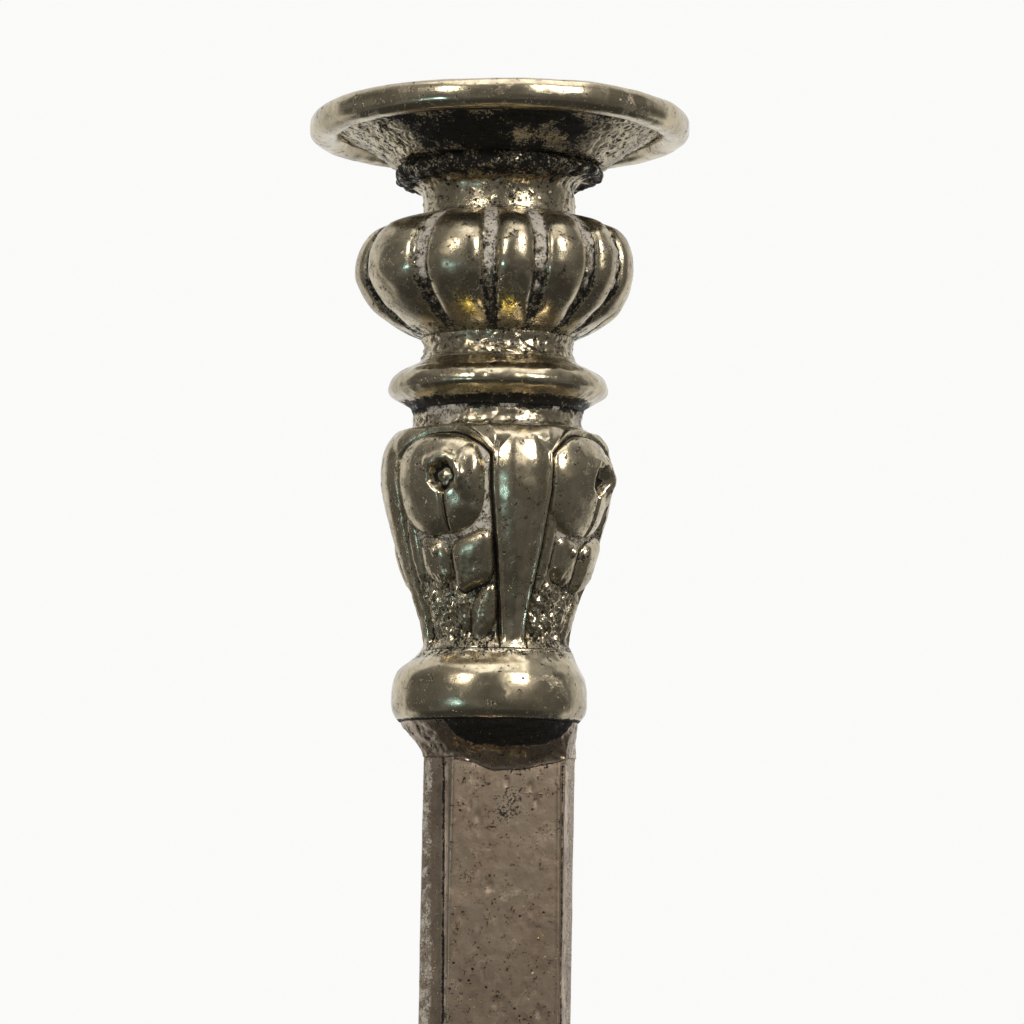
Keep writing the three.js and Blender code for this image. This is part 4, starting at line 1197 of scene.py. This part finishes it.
@dataclass
class Baluster:
    """The vase with four leaves between four smooth ribs.

    Attributes:
        leaf_half_deg: half of a leaf's bay at its widest.
        narrowing: degrees that the bay's half angle gains towards the foot.
        floor_mm: how deep a leaf's ground lies.
        thread_mm: how proud the thread along its border stands.
        slot_mm: depth of the slot inside the thread.
        rib_mm: how proud the ribs stand.
        eye: middle of the eye, as shares across the leaf and up the baluster.
        pads: the pads of one leaf.
    """

    leaf_half_deg: float = 30.5
    narrowing: float = 7.0
    floor_mm: float = 0.75
    thread_mm: float = 0.5
    slot_mm: float = 0.6
    rib_mm: float = 0.9
    eye: Point = (0.11, 0.755)
    pads: tuple[Swelling, ...] = (
        Swelling(-0.09, 0.735, 0.92, 0.24, 1.9),
        Swelling(0.5, 0.76, 0.3, 0.15, 2.25, 0.0, 2.2),
        Swelling(0.5, 0.382, 0.4, 0.118, 1.9, 0.09, 4.6),
        Swelling(-0.3, 0.385, 0.34, 0.1, 1.2, -0.06, 3.0),
        Swelling(-0.22, 0.43, 0.1, 0.032, 1.75, 0.0, 2.0),
        Swelling(-0.86, 0.4, 0.2, 0.22, 0.9, 0.0, 2.2),
        Swelling(0.62, 0.155, 0.32, 0.1, 1.3, 0.16, 2.3),
        Swelling(0.14, 0.17, 0.16, 0.1, 0.9, -0.1, 2.2),
        Swelling(-0.45, 0.16, 0.46, 0.13, 0.7, -0.05, 2.2),
    )

    def build(self) -> None:
        """Makes the vase."""
        box = NodeBox("baluster")
        shares = [
            (0.655, 0.0), (0.621, 0.05), (0.64, 0.13), (0.69, 0.22), (0.775, 0.346), (0.871, 0.51),
            (0.945, 0.67), (0.972, 0.78), (0.968, 0.85), (0.93, 0.92), (0.847, 0.975), (0.79, 1.0),
        ]
        TurnedPiece(
            "leafy_vase", ("baluster",), "cast_silver", Body.STICK,
            box.outline(shares, SPIGOT), box.bored(ROD_HOLE, SPIGOT),
            around=576, spacing_mm=0.26,
            push=[self._carving, dents(53, 0.04, 6), dents(54, 0.006, 1.8)],
            paint={"frost": self._deposit, "grime_and_shade": self._dirt},
        ).make(CAST_SILVER)

    def _bay(self, surface: Surface) -> tuple[np.ndarray, np.ndarray]:
        """Finds each place in its leaf's bay.

        Args:
            surface: the vase's skin.

        Returns:
            The place across the bay from -1 to 1, beyond which is rib, and the signed distance to
            the bay's edge in metres, positive inside.
        """
        off = (surface.angle % 90) - 45
        half = self.leaf_half_deg + self.narrowing * (1 - np.clip(surface.rise / 0.7, 0, 1))
        across = off / half
        side_gap = np.radians(half - np.abs(off)) * surface.radius
        arch = 0.985 - 0.13 * np.clip(np.abs(across), 0, 1) ** 2.6
        top_gap = (arch - surface.rise) * (surface.high - surface.low)
        return across, np.minimum(side_gap, top_gap)

    def _pads(self, surface: Surface) -> np.ndarray:
        """Height of the highest pad at each place."""
        across, _ = self._bay(surface)
        heights = [pad.at(across, surface.rise) for pad in self.pads]
        return np.max([np.zeros_like(across), *heights], axis=0)

    def _leaf(self, surface: Surface) -> np.ndarray:
        """Height of the leaf's relief over the vase."""
        (across, gap), up = self._bay(surface), surface.rise
        inside = step_up(gap, 0.0, 0.5 * MM)
        thread = hump(gap - 0.1 * MM, 0.28 * MM) * self.thread_mm * MM
        shape = (self._pads(surface) - self.floor_mm * MM) * inside + thread
        shape -= self._slot(surface) * self.slot_mm * MM
        shape += self._eye(surface, across)
        rough = step_up(up, 0.4, 0.2) * inside * step_up(across, 0.5, -0.1)
        grains = surface.uneven(51, 1.7) + 0.7 * surface.uneven(55, 1.0)
        return shape + grains * (0.2 + 0.7 * rough) * inside * step_up(up, 0.5, 0.25) * 0.17 * MM

    def _slot(self, surface: Surface) -> np.ndarray:
        """1 along the slot inside a bay's border."""
        return hump(self._bay(surface)[1] - 0.7 * MM, 0.32 * MM)

    def _eye(self, surface: Surface, across: np.ndarray) -> np.ndarray:
        """The punched eye with its raised brow, and the cleft below it."""
        side = (across - self.eye[0]) * math.radians(self.leaf_half_deg) * surface.radius
        climb = (surface.rise - self.eye[1]) * (surface.high - surface.low)
        away = np.hypot(side, climb) + surface.uneven(52, 1.6) * 0.15 * MM
        pit = step_up(away, 2.7 * MM, 1.7 * MM) * 1.9 * MM
        nub = hump(away, 0.7 * MM) * 0.25 * MM
        brow = hump(away - 3.4 * MM, 0.9 * MM) * 0.7 * MM
        brow *= step_up(climb + 0.5 * side, -1.5 * MM, 2 * MM)
        below = step_up(climb, -1.5 * MM, -2.5 * MM) * step_up(climb, -10.5 * MM, -9 * MM)
        cleft = hump(side + 0.1 * MM, 0.35 * MM) * below * 0.9 * MM
        return nub + brow - pit - cleft

    def _carving(self, surface: Surface) -> np.ndarray:
        """The leaves and the ribs' round swelling, fading out at the vase's two ends."""
        ribs = step_up(-self._bay(surface)[1], 0, 3.4 * MM) * self.rib_mm * MM
        fade = step_up(surface.rise, 0.015, 0.07) * step_up(surface.rise, 1.0, 0.97)
        return (self._leaf(surface) + ribs) * fade

    def _channel(self, surface: Surface) -> np.ndarray:
        """1 in the channel between a leaf's pads and its border."""
        low = step_up(self._pads(surface), 0.3 * MM, 0.05 * MM)
        return step_up(self._bay(surface)[1], 0.9 * MM, 1.4 * MM) * low

    def _deposit(self, surface: Surface) -> np.ndarray:
        """The pale deposit in the upper channels."""
        return self._channel(surface) * step_up(surface.rise, 0.3, 0.6) * 0.8

    def _dirt(self, surface: Surface) -> np.ndarray:
        """Dirt in the channels and slots; darker low on the leaves and round the vase's top."""
        ends = step_up(surface.rise, 0.4, 0.1) * 0.3 + step_up(surface.rise, 0.93, 1.0) * 0.45
        cut = np.maximum(self._channel(surface) * 0.55, self._slot(surface) * 0.9)
        return np.maximum(cut, ends)


@dataclass
class Collar:
    """A cushion moulding between a round part and the column's end.

    Attributes:
        node: the frame's node.
        name: the piece's name.
        turned_over: whether the wide side is on top.
        seed: picks its dents.
    """

    node: str
    name: str
    turned_over: bool
    seed: int

    def build(self) -> None:
        """Makes the cushion."""
        box = NodeBox(self.node)
        shares = [
            (0.92, 0.0), (0.955, 0.055), (0.985, 0.13), (1.0, 0.24), (1.0, 0.4), (0.992, 0.52),
            (0.97, 0.64), (0.925, 0.75), (0.865, 0.84), (0.805, 0.93), (0.775, 1.0),
        ]
        if self.turned_over:
            shares = [(radius, 1 - rise) for radius, rise in reversed(shares)]
        TurnedPiece(
            self.name, (self.node,), "cast_silver", Body.STICK,
            box.outline(shares, SPIGOT), box.bored(ROD_HOLE, SPIGOT),
            around=416, spacing_mm=0.22, shift=self._off_centre,
            push=[self._rough_neck, dents(self.seed, 0.025, 9), dents(self.seed + 2, 0.004, 2)],
            paint={"grime_and_shade": self._neck_dirt_and_shade},
        ).make(SMOOTH_SILVER)

    def _from_wide(self, surface: Surface) -> np.ndarray:
        """Share of the way from the wide side to the narrow one."""
        return 1 - surface.rise if self.turned_over else surface.rise

    def _rough_neck(self, surface: Surface) -> np.ndarray:
        """Leaves the narrow side rough, where files don't reach."""
        rough = step_up(self._from_wide(surface), 0.8, 0.92)
        return surface.uneven(self.seed + 4, 3) * rough * 0.08 * MM

    def _neck_dirt_and_shade(self, surface: Surface) -> np.ndarray:
        """Dirt on the narrow side, and painted shade in the corner under the belly."""
        share = self._from_wide(surface)
        return np.maximum(step_up(share, 0.72, 0.95) * 0.5, step_up(share, 0.06, 0.01) * 0.9)

    def _off_centre(self, surface: Surface) -> np.ndarray:
        """Sets the belly a little to one side, as it was cast."""
        share = step_up(self._from_wide(surface), 1, 0.7)
        return share[:, None] * np.array([-COLLAR_ASIDE_MM, 0.25, 0]) * MM


@dataclass
class Column:
    """The flattened hexagonal column and the transitions at its two ends.

    Attributes:
        face: width of the front face, as a share of the whole width.
        crispness: sharpness of the long edges; more is sharper.
        knocks: number of single pits and knocks.
        lean_mm: how far its top strays to the right.
        tongue_mm: how far the ends' tongues lap over the wide faces.
    """

    face: float = 0.732
    crispness: float = 80.0
    knocks: int = 34
    lean_mm: float = 0.85
    tongue_mm: float = 2.4

    def __post_init__(self) -> None:
        """Reads the column's size and works out its sloping sides."""
        self.box = NodeBox("column")
        self.half_width, self.half_depth, _ = self.box.highest
        self.half_face = self.half_width * self.face
        normal = math.atan2(self.half_width - self.half_face, self.half_depth)
        self.slope_deg = 90 - math.degrees(normal)
        self.slope_reach = self.half_width * math.sin(math.radians(self.slope_deg))

    def build(self) -> None:
        """Makes the column, its head and its foot."""
        self._shaft().make(COLUMN_SILVER)
        self._end("column_head", "column_cap", head=True).make(CAP_SILVER)
        self._end("column_foot", "column_shoe", head=False).make(CAP_SILVER)

    def _edge(self, surface: Surface) -> np.ndarray:
        """Radius of the rounded hexagon at each place's angle."""
        sides = [(0.0, self.half_depth), (180.0, self.half_depth)]
        for middle in (self.slope_deg, -self.slope_deg, 180 - self.slope_deg, self.slope_deg - 180):
            sides.append((middle, self.slope_reach))
        total = np.zeros(len(surface.places))
        for middle, reach in sides:
            facing = np.cos(np.radians(surface.off(middle)))
            total += np.clip(facing / reach * MM, 0, None) ** self.crispness
        return MM * total ** (-1 / self.crispness)

    def _shaft(self) -> TurnedPiece:
        """The long tube."""
        box = self.box
        return TurnedPiece(
            "hexagonal_column", ("column",), "column_silver", Body.STICK,
            [(self.half_width, box.bottom), (self.half_width, box.top)], box.bored(ROD_HOLE),
            around=480, spacing_mm=0.7, radial=self._edge, shift=self._lean,
            push=[self._channels, self._knocks, dents(61, 0.022, 13), dents(62, 0.008, 2.6)],
            paint={"grime_and_shade": self._stains_and_shade, "frost": self._bevels},
        )

    def _lean(self, surface: Surface) -> np.ndarray:
        """How far the column strays to one side, most at its top."""
        climb = np.clip((surface.places[:, 2] - self.box.bottom) / self.box.height, 0, 1)
        return (climb**2.2)[:, None] * np.array([self.lean_mm, 0, 0]) * MM

    def _past_face(self, surface: Surface) -> np.ndarray:
        """Distance sideways past the wide face's edge, in metres."""
        return np.abs(surface.places[:, 0]) - self.half_face

    def _lines(self, surface: Surface) -> np.ndarray:
        """1 along the thin channels beside the long edges, 0 elsewhere."""
        return hump(self._past_face(surface) - 0.4 * MM, 0.25 * MM)

    def _channels(self, surface: Surface) -> np.ndarray:
        """Cuts the channels and raises a thread beside each."""
        thread = hump(self._past_face(surface) + 0.35 * MM, 0.25 * MM)
        return thread * 0.08 * MM - self._lines(surface) * 0.2 * MM

    def _stains_and_shade(self, surface: Surface) -> np.ndarray:
        """Dark patches near the head of the wide faces, painted shade in a band just under the head, and
        dirt in the channels.
        """
        across, _, height = surface.places.T
        patch = hump(across - 1 * MM, 5 * MM) * hump(self.box.top - 9 * MM - height, 6 * MM)
        near_head = step_up(height, self.box.top - 8 * MM, self.box.top - 2 * MM) * 0.42
        return np.maximum(np.maximum(self._lines(surface) * 0.8, near_head), patch * 0.6)

    def _bevels(self, surface: Surface) -> np.ndarray:
        """The pale deposit on the narrow sloping sides."""
        across = np.abs(surface.places[:, 0])
        return step_up(across, self.half_face + 1 * MM, self.half_width * 0.9) * 0.55

    def _knocks(self, surface: Surface) -> np.ndarray:
        """Single pits and knocks on the faces."""
        chance = np.random.default_rng(65)
        total = np.zeros(len(surface.places))
        for _ in range(self.knocks):
            spot = np.array([chance.uniform(-9, 9), chance.uniform(70, 180)]) * MM
            size = chance.uniform(0.35, 0.9) * MM
            away = np.hypot(surface.places[:, 0] - spot[0], surface.places[:, 2] - spot[1])
            total += hump(away - size * 1.3, size * 0.5) * 0.25 - hump(away, size)
        return total * 0.14 * MM

    def _end(self, node: str, name: str, head: bool) -> TurnedPiece:
        """A transition from the hexagon to the round collar, with a tongue lapping each wide face.

        Args:
            node: the frame's node.
            name: the piece's name.
            head: True for the upper one, whose round side is on top.

        Returns:
            The piece.
        """
        round_radius = NodeBox(node).radius - 0.6 * MM
        if head:
            seam, far = self.box.top, NodeBox("upper_collar").bottom
        else:
            seam, far = self.box.bottom, NodeBox("lower_collar").top - SPIGOT
        reach = far - seam

        def from_seam(surface: Surface) -> np.ndarray:
            """Share of the way from the column to the collar."""
            return np.clip((surface.places[:, 2] - seam) / reach, 0, 1)

        def lap(surface: Surface) -> np.ndarray:
            """Draws the tongue over the face, and follows the column and the collar sideways."""
            share = from_seam(surface)
            tongue = np.clip(1 - (surface.places[:, 0] / (10.5 * MM)) ** 2, 0, 1) ** 0.8
            uneven = 1 + 0.15 * Unevenness(67, 6).at(surface.places * np.array([1, 1, 0]))
            drop = -math.copysign(1, reach) * (tongue * self.tongue_mm + 0.3) * uneven * (1 - share) ** 2
            if head:
                aside = self.lean_mm * (1 - share) - COLLAR_ASIDE_MM * step_up(share, 0, 1)
            else:
                aside = -COLLAR_ASIDE_MM * share
            return np.stack([aside, np.zeros(len(share)), drop], axis=1) * MM

        def loft(surface: Surface) -> np.ndarray:
            """Goes from the hexagon to the round."""
            share = from_seam(surface)
            bulge = 0.75 * step_up(share, 0.0, 1.0) + 0.25 * share
            lip = 0.2 * MM * step_up(share, -1, 0.02)
            return (self._edge(surface) + lip) * (1 - bulge) + round_radius * bulge

        def undercut(surface: Surface) -> np.ndarray:
            """Painted shadow under the collar, in the shape of a lens on each face."""
            across = surface.places[:, 0] / (12.5 * MM)
            lens = step_up(from_seam(surface) - 0.85 * across**4, 0.16, 0.34)
            return lens * (0.97 if head else 0.4)

        low, high = sorted((seam, far))
        return TurnedPiece(
            name, (node,), "worn_silver", Body.STICK,
            [(round_radius, low), (round_radius, high)], [(ROD_HOLE, high), (ROD_HOLE, low)],
            around=480, spacing_mm=0.12, radial=loft, shift=lap,
            push=[dents(63, 0.05, 3.5), pocks(64, 0.1, 1.8)],
            paint={"grime_and_shade": undercut},
        )


@dataclass
class Foot:
    """The weighted foot: dome, cove, lobed border and edge, closed below by a disc and baize.

    Attributes:
        lobes: number of lobes in the border.
        lobe_mm: depth of the grooves between them.
    """

    lobes: int = 24
    lobe_mm: float = 1.5

    def build(self) -> None:
        """Makes the foot's pieces."""
        self._dome().make(SMOOTH_SILVER)
        self._cove().make(SMOOTH_SILVER)
        self._border().make(CAST_SILVER)
        self._edge().make(SMOOTH_SILVER)
        self._disc().make(BEECH)
        self._baize()

    def _dome(self) -> TurnedPiece:
        """The raised dome that the column stands on, hollow below a thick top."""
        box = NodeBox("foot_dome")
        shares = [
            (1.0, 0.0), (0.985, 0.07), (0.93, 0.16), (0.81, 0.255), (0.66, 0.375), (0.545, 0.51),
            (0.46, 0.66), (0.395, 0.84), (0.365, 1.0),
        ]
        (_, top), _ = box.bored(ROD_HOLE, SPIGOT)
        under = top - 3.6 * MM
        return TurnedPiece(
            "domed_foot", ("foot_dome",), "worn_silver", Body.STICK, box.outline(shares, SPIGOT),
            [(ROD_HOLE, top), (ROD_HOLE, under), (12 * MM, under), (0.93 * box.radius, box.bottom)],
            around=416, spacing_mm=0.45, push=[dents(71, 0.08, 9), dents(72, 0.012, 2.2)],
        )

    def _cove(self) -> TurnedPiece:
        """The plain hollow moulding between the dome and the border."""
        box = NodeBox("foot_step")
        dome = NodeBox("foot_dome").radius / box.radius
        shares = [
            (1.0, 0.0), (1.0, 0.12), (0.975, 0.19), (0.93, 0.25), (0.88, 0.4), (0.842, 0.62),
            (dome + 0.035, 0.74), (dome + 0.038, 0.88), (dome + 0.015, 1.0),
        ]
        return TurnedPiece(
            "foot_cove", ("foot_step",), "worn_silver", Body.STICK,
            box.outline(shares), box.bored(box.radius * dome - 1.8 * MM),
            around=480, spacing_mm=0.3, push=[dents(73, 0.06, 7), dents(74, 0.012, 2)],
        )

    def _swell(self, surface: Surface) -> np.ndarray:
        """Distance from a lobe's middle, as a share of half its width."""
        return np.abs((surface.angle / 360 * self.lobes + 0.5) % 1 - 0.5) * 2

    def _gadroons(self, surface: Surface) -> np.ndarray:
        """The border's lobes, fading at its two ends."""
        ends = step_up(surface.along, 0.03, 0.16) * step_up(1 - surface.along, 0.04, 0.2)
        return (lobe_height(self._swell(surface) / 0.9) - 1) * self.lobe_mm * MM * ends

    def _border(self) -> TurnedPiece:
        """The lobed border."""
        box = NodeBox("foot_border")
        shares = [
            (0.978, 0.0), (0.997, 0.15), (1.0, 0.33), (0.985, 0.55), (0.945, 0.76), (0.895, 0.92),
            (0.84, 1.0),
        ]

        def between_lobes(surface: Surface) -> np.ndarray:
            """1 in the grooves between the lobes."""
            return step_up(self._swell(surface), 0.86, 0.97)

        return TurnedPiece(
            "gadrooned_border", ("foot_border",), "cast_silver", Body.STICK, box.outline(shares),
            [(box.radius * 0.8, box.top), (box.radius * 0.9, box.bottom)],
            around=704, spacing_mm=0.36,
            push=[self._gadroons, dents(75, 0.06, 6), dents(76, 0.015, 2)],
            paint={
                "frost": lambda s: between_lobes(s) * step_up(s.rise, 0.5, 0.8),
                "grime_and_shade": lambda s: between_lobes(s) * step_up(s.rise, 0.6, 0.3),
            },
        )

    def _edge(self) -> TurnedPiece:
        """The plain rounded edge that meets the table."""
        box = NodeBox("foot_rim")
        shares = [
            (0.975, 0.0), (0.99, 0.08), (0.998, 0.3), (1.0, 0.5), (0.998, 0.7), (0.99, 0.92),
            (0.975, 1.0),
        ]
        return TurnedPiece(
            "foot_edge", ("foot_rim",), "worn_silver", Body.STICK,
            box.outline(shares), box.bored(box.radius - 4.4 * MM),
            around=480, spacing_mm=0.3, push=[dents(77, 0.06, 8), dents(78, 0.012, 2)],
            paint={"grime_and_shade": lambda s: step_up(s.rise, 0.1, 0.02) * 0.6},
        )

    def _disc(self) -> TurnedPiece:
        """The beech disc that closes the foot, with a recess for the rod's nut."""
        box = NodeBox("closing_disc")
        flange, plug = NodeBox("foot_rim").top, box.radius - 3.4 * MM
        recess, floor = 7.2 * MM, box.bottom + 3.7 * MM
        line = [(plug, box.top), (plug, flange), (box.radius, flange), (box.radius, box.bottom)]
        line += [(recess, box.bottom), (recess, floor)]
        return TurnedPiece(
            "beech_disc", ("closing_disc",), "beech", Body.STICK, line,
            [(ROD_HOLE, floor), (ROD_HOLE, box.top)],
            around=160, spacing_mm=1.2, push=[dents(79, 0.01, 4)],
        )

    def _baize(self) -> None:
        """Makes the baize disc."""
        box = NodeBox("baize_pad")
        bm = bmesh.new()
        bmesh.ops.create_circle(bm, cap_ends=True, cap_tris=False, segments=180, radius=box.radius)
        bmesh.ops.translate(bm, verts=bm.verts, vec=(0, 0, box.bottom))
        inset = 1.2 * MM
        for _ in range(3):
            face = max(bm.faces, key=lambda f: len(f.verts))
            bmesh.ops.inset_region(bm, faces=[face], thickness=inset, use_even_offset=True)
            inset *= 4
        grown = bmesh.ops.extrude_face_region(bm, geom=list(bm.faces))
        bmesh.ops.translate(bm, verts=only_vertices(grown["geom"]), vec=(0, 0, box.height))
        bmesh.ops.recalc_face_normals(bm, faces=bm.faces)
        mesh = as_mesh(bm, "baize_sheet", soft=False)
        mesh.materials.append(GREEN_BAIZE.material())
        sheet = place_in_scene("baize_sheet", mesh)
        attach(sheet, Body.STICK.value)
        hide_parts("baize_pad")


class Fastening:
    """The pieces inside that keep their frame shape and get a better finish."""

    def build(self, nodes: dict[str, bpy.types.Object]) -> None:
        """Dresses the rod, washer, nut and weight.

        Args:
            nodes: the frame's objects by node name.
        """
        finishes = dict.fromkeys(("tie_rod", "rod_washer", "rod_nut"), DRAWN_STEEL)
        finishes["weight_filling"] = PLASTER
        for name, finish in finishes.items():
            mesh = nodes[name].data
            if not mesh.materials:
                mesh.materials.append(None)
            for index in range(len(mesh.materials)):
                nodes[name].material_slots[index].material = finish.material()
            LOG.info("%s keeps its frame shape in %s", name, finish.name)


# ---------------------------------------------------------------------------------------------
# Studio
# ---------------------------------------------------------------------------------------------


@dataclass
class Studio:
    """Camera, soft lights, pale floor and surroundings.

    Attributes:
        azimuth_deg: where the camera stands, round from the front.
        distance: from the axis to the camera.
        eye_height: height of the camera.
        aim_height: height that the picture's middle shows.
        aim_side: how far to the right of the axis the picture's middle is.
        lens_mm: focal length on a 36 mm sensor.
        roll_deg: turn of the camera about its line of sight.
        lit_height: height that the lights point at.
        pale: brightness of the background.
        backdrop: brightness of the white side of the room that the silver mirrors.
        room: brightness of its dark side.
        roof: brightness over the dark side.
        table: brightness seen below.
        clutter_mm: size of the blots on the dark side, seen on a ball of 1 m radius.
    """

    azimuth_deg: float = -13.4
    distance: float = 0.715
    eye_height: float = 0.16
    aim_height: float = 0.2283
    aim_side: float = 0.0027
    lens_mm: float = 140.4
    roll_deg: float = 0.4
    lit_height: float = 0.22
    pale: float = 0.96
    backdrop: float = 0.92
    room: float = 0.165
    roof: float = 0.36
    table: float = 0.07
    clutter_mm: float = 450

    @staticmethod
    def _towards(azimuth_deg: float, elevation_deg: float = 0.0) -> Vector:
        """The unit vector towards a place round the object."""
        turn, lift = math.radians(azimuth_deg), math.radians(elevation_deg)
        out = math.cos(lift)
        return Vector((math.sin(turn) * out, -math.cos(turn) * out, math.sin(lift)))

    def build(self) -> None:
        """Sets up the whole studio."""
        self._camera()
        self._lights()
        self._floor()
        self._surroundings()
        bpy.context.scene.view_settings.view_transform = "Standard"

    def _camera(self) -> None:
        """Stands the camera in front of the candlestick's left side, looking slightly up."""
        data = bpy.data.cameras.new("camera")
        data.lens = self.lens_mm
        data.sensor_width = 36
        data.clip_start, data.clip_end = 0.02, 60
        camera = place_in_scene("camera", data)
        eye = self._towards(self.azimuth_deg) * self.distance
        eye.z = self.eye_height
        turn = math.radians(self.azimuth_deg)
        aim = Vector((math.cos(turn), math.sin(turn), 0)) * self.aim_side
        aim.z = self.aim_height
        look = (aim - eye).to_track_quat("-Z", "Y")
        camera.location = eye
        camera.rotation_mode = "QUATERNION"
        camera.rotation_quaternion = look @ Quaternion((0, 0, 1), math.radians(self.roll_deg))
        bpy.context.scene.camera = camera

    def _softbox(
        self,
        name: str,
        azimuth_deg: float,
        elevation_deg: float,
        away: float,
        size: Point,
        power: float,
        tint: Colour,
    ) -> None:
        """Hangs one soft light.

        Args:
            name: its name.
            azimuth_deg: where it hangs, round from the camera.
            elevation_deg: how high, seen from the place it points at.
            away: its distance from that place.
            size: its width and height.
            power: its strength in watts.
            tint: its colour.
        """
        data = bpy.data.lights.new(name, "AREA")
        data.shape = "RECTANGLE"
        data.size, data.size_y = size
        data.energy = power
        data.color = tint
        light = place_in_scene(name, data)
        back = self._towards(self.azimuth_deg + azimuth_deg, elevation_deg)
        light.location = Vector((0, 0, self.lit_height)) + back * away
        light.rotation_mode = "QUATERNION"
        light.rotation_quaternion = (-back).to_track_quat("-Z", "Y")
        light.visible_camera = False

    def _lights(self) -> None:
        """Hangs two soft lights in front, a small cool one low down, and a wide one overhead."""
        self._softbox("left_box", -32, 28, 0.9, (0.17, 0.3), 2.7, (1, 0.97, 0.93))
        self._softbox("right_box", 38, 28, 0.9, (0.26, 0.32), 4.6, (1, 0.98, 0.95))
        self._softbox("cool_card", -40, -12, 0.6, (0.07, 0.04), 0.2, (0.5, 0.85, 1))
        self._softbox("overhead", 20, 78, 1.2, (1.2, 1.2), 9, (1, 1, 1))

    def _floor(self) -> None:
        """Lays a pale floor that fades into the background."""
        bm = bmesh.new()
        bmesh.ops.create_circle(bm, cap_ends=True, segments=96, radius=3.0)
        floor = place_in_scene("studio_floor", as_mesh(bm, "studio_floor", soft=False))
        g = Graph.of_material("pale_floor")
        g.shade("Base Color", (0.5, 0.5, 0.495, 1))
        g.shade("Roughness", 0.9)
        g.shade("Specular IOR Level", 0.0)
        length = g.node("ShaderNodeVectorMath", operation="LENGTH")
        g.put(length.inputs[0], g.place)
        glow = g.node("ShaderNodeEmission")
        glow.inputs["Color"].default_value = (self.pale, self.pale, self.pale * 0.992, 1)
        blend = g.node("ShaderNodeMixShader")
        g.put(blend.inputs[0], g.between(length.outputs["Value"], 0.12, 0.9, 0.25, 1.0))
        g.put(blend.inputs[1], g.shader.outputs[0])
        g.put(blend.inputs[2], glow.outputs[0])
        g.put(g.nodes["Material Output"].inputs["Surface"], blend.outputs[0])
        floor.data.materials.append(g.material)
        floor.visible_glossy = False

    @staticmethod
    def _either(g: Graph, share: object, first: object, second: object) -> bpy.types.NodeSocket:
        """A brightness between two others."""
        made = g.node("ShaderNodeMix")
        g.put(made.inputs[0], share)
        g.put(made.inputs[2], first)
        g.put(made.inputs[3], second)
        return made.outputs[0]

    def _surroundings(self) -> None:
        """Paints the world: pale to look at, with a dark side of the room for silver to mirror."""
        world = bpy.data.worlds.new("studio")
        bpy.context.scene.world = world
        world.use_nodes = True
        world.node_tree.nodes.clear()
        g = Graph(world.node_tree)
        way = g.coordinates.outputs["Generated"]
        parts = g.node("ShaderNodeSeparateXYZ")
        g.put(parts.inputs[0], way)
        flat = g.node("ShaderNodeCombineXYZ")
        g.put(flat.inputs["X"], parts.outputs["X"])
        g.put(flat.inputs["Y"], parts.outputs["Y"])
        unit = g.node("ShaderNodeVectorMath", operation="NORMALIZE")
        g.put(unit.inputs[0], flat.outputs[0])
        facing = g.node("ShaderNodeVectorMath", operation="DOT_PRODUCT")
        g.put(facing.inputs[0], unit.outputs[0])
        facing.inputs[1].default_value = self._towards(self.azimuth_deg)
        in_front = g.between(facing.outputs["Value"], -0.47, -0.38)
        under_roof = g.between(parts.outputs["Z"], 0.72, 0.55)
        above_table = g.between(parts.outputs["Z"], -0.66, -0.48)
        clutter = g.noise(self.clutter_mm, 2, at=way)
        room = g.between(clutter, 0.35, 0.65, self.room * 0.65, self.room * 1.35)
        room = self._either(g, under_roof, self.roof, room)
        around = self._either(g, in_front, self.backdrop, room)
        light = self._either(g, above_table, self.table, around)
        rays = g.node("ShaderNodeLightPath")
        strength = self._either(g, rays.outputs["Is Glossy Ray"], self.pale, light)
        background = g.node("ShaderNodeBackground")
        background.inputs["Color"].default_value = (1, 1, 0.992, 1)
        g.put(background.inputs["Strength"], strength)
        g.put(g.node("ShaderNodeOutputWorld").inputs["Surface"], background.outputs[0])


def main() -> None:
    """Builds the candlestick's fine pieces around the frame and sets up the studio."""
    logging.basicConfig(level=logging.INFO, format="%(name)s: %(message)s")
    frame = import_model()
    upper = Collar("upper_collar", "upper_cushion", turned_over=False, seed=81)
    lower = Collar("lower_collar", "lower_cushion", turned_over=True, seed=91)
    stack = (Nozzle(), Socket(), Knop(), Mouldings(), Baluster(), upper, Column(), lower, Foot())
    for part in (Studio(), *stack):
        part.build()
    Fastening().build(frame["nodes"])


if __name__ == "__main__":
    main()
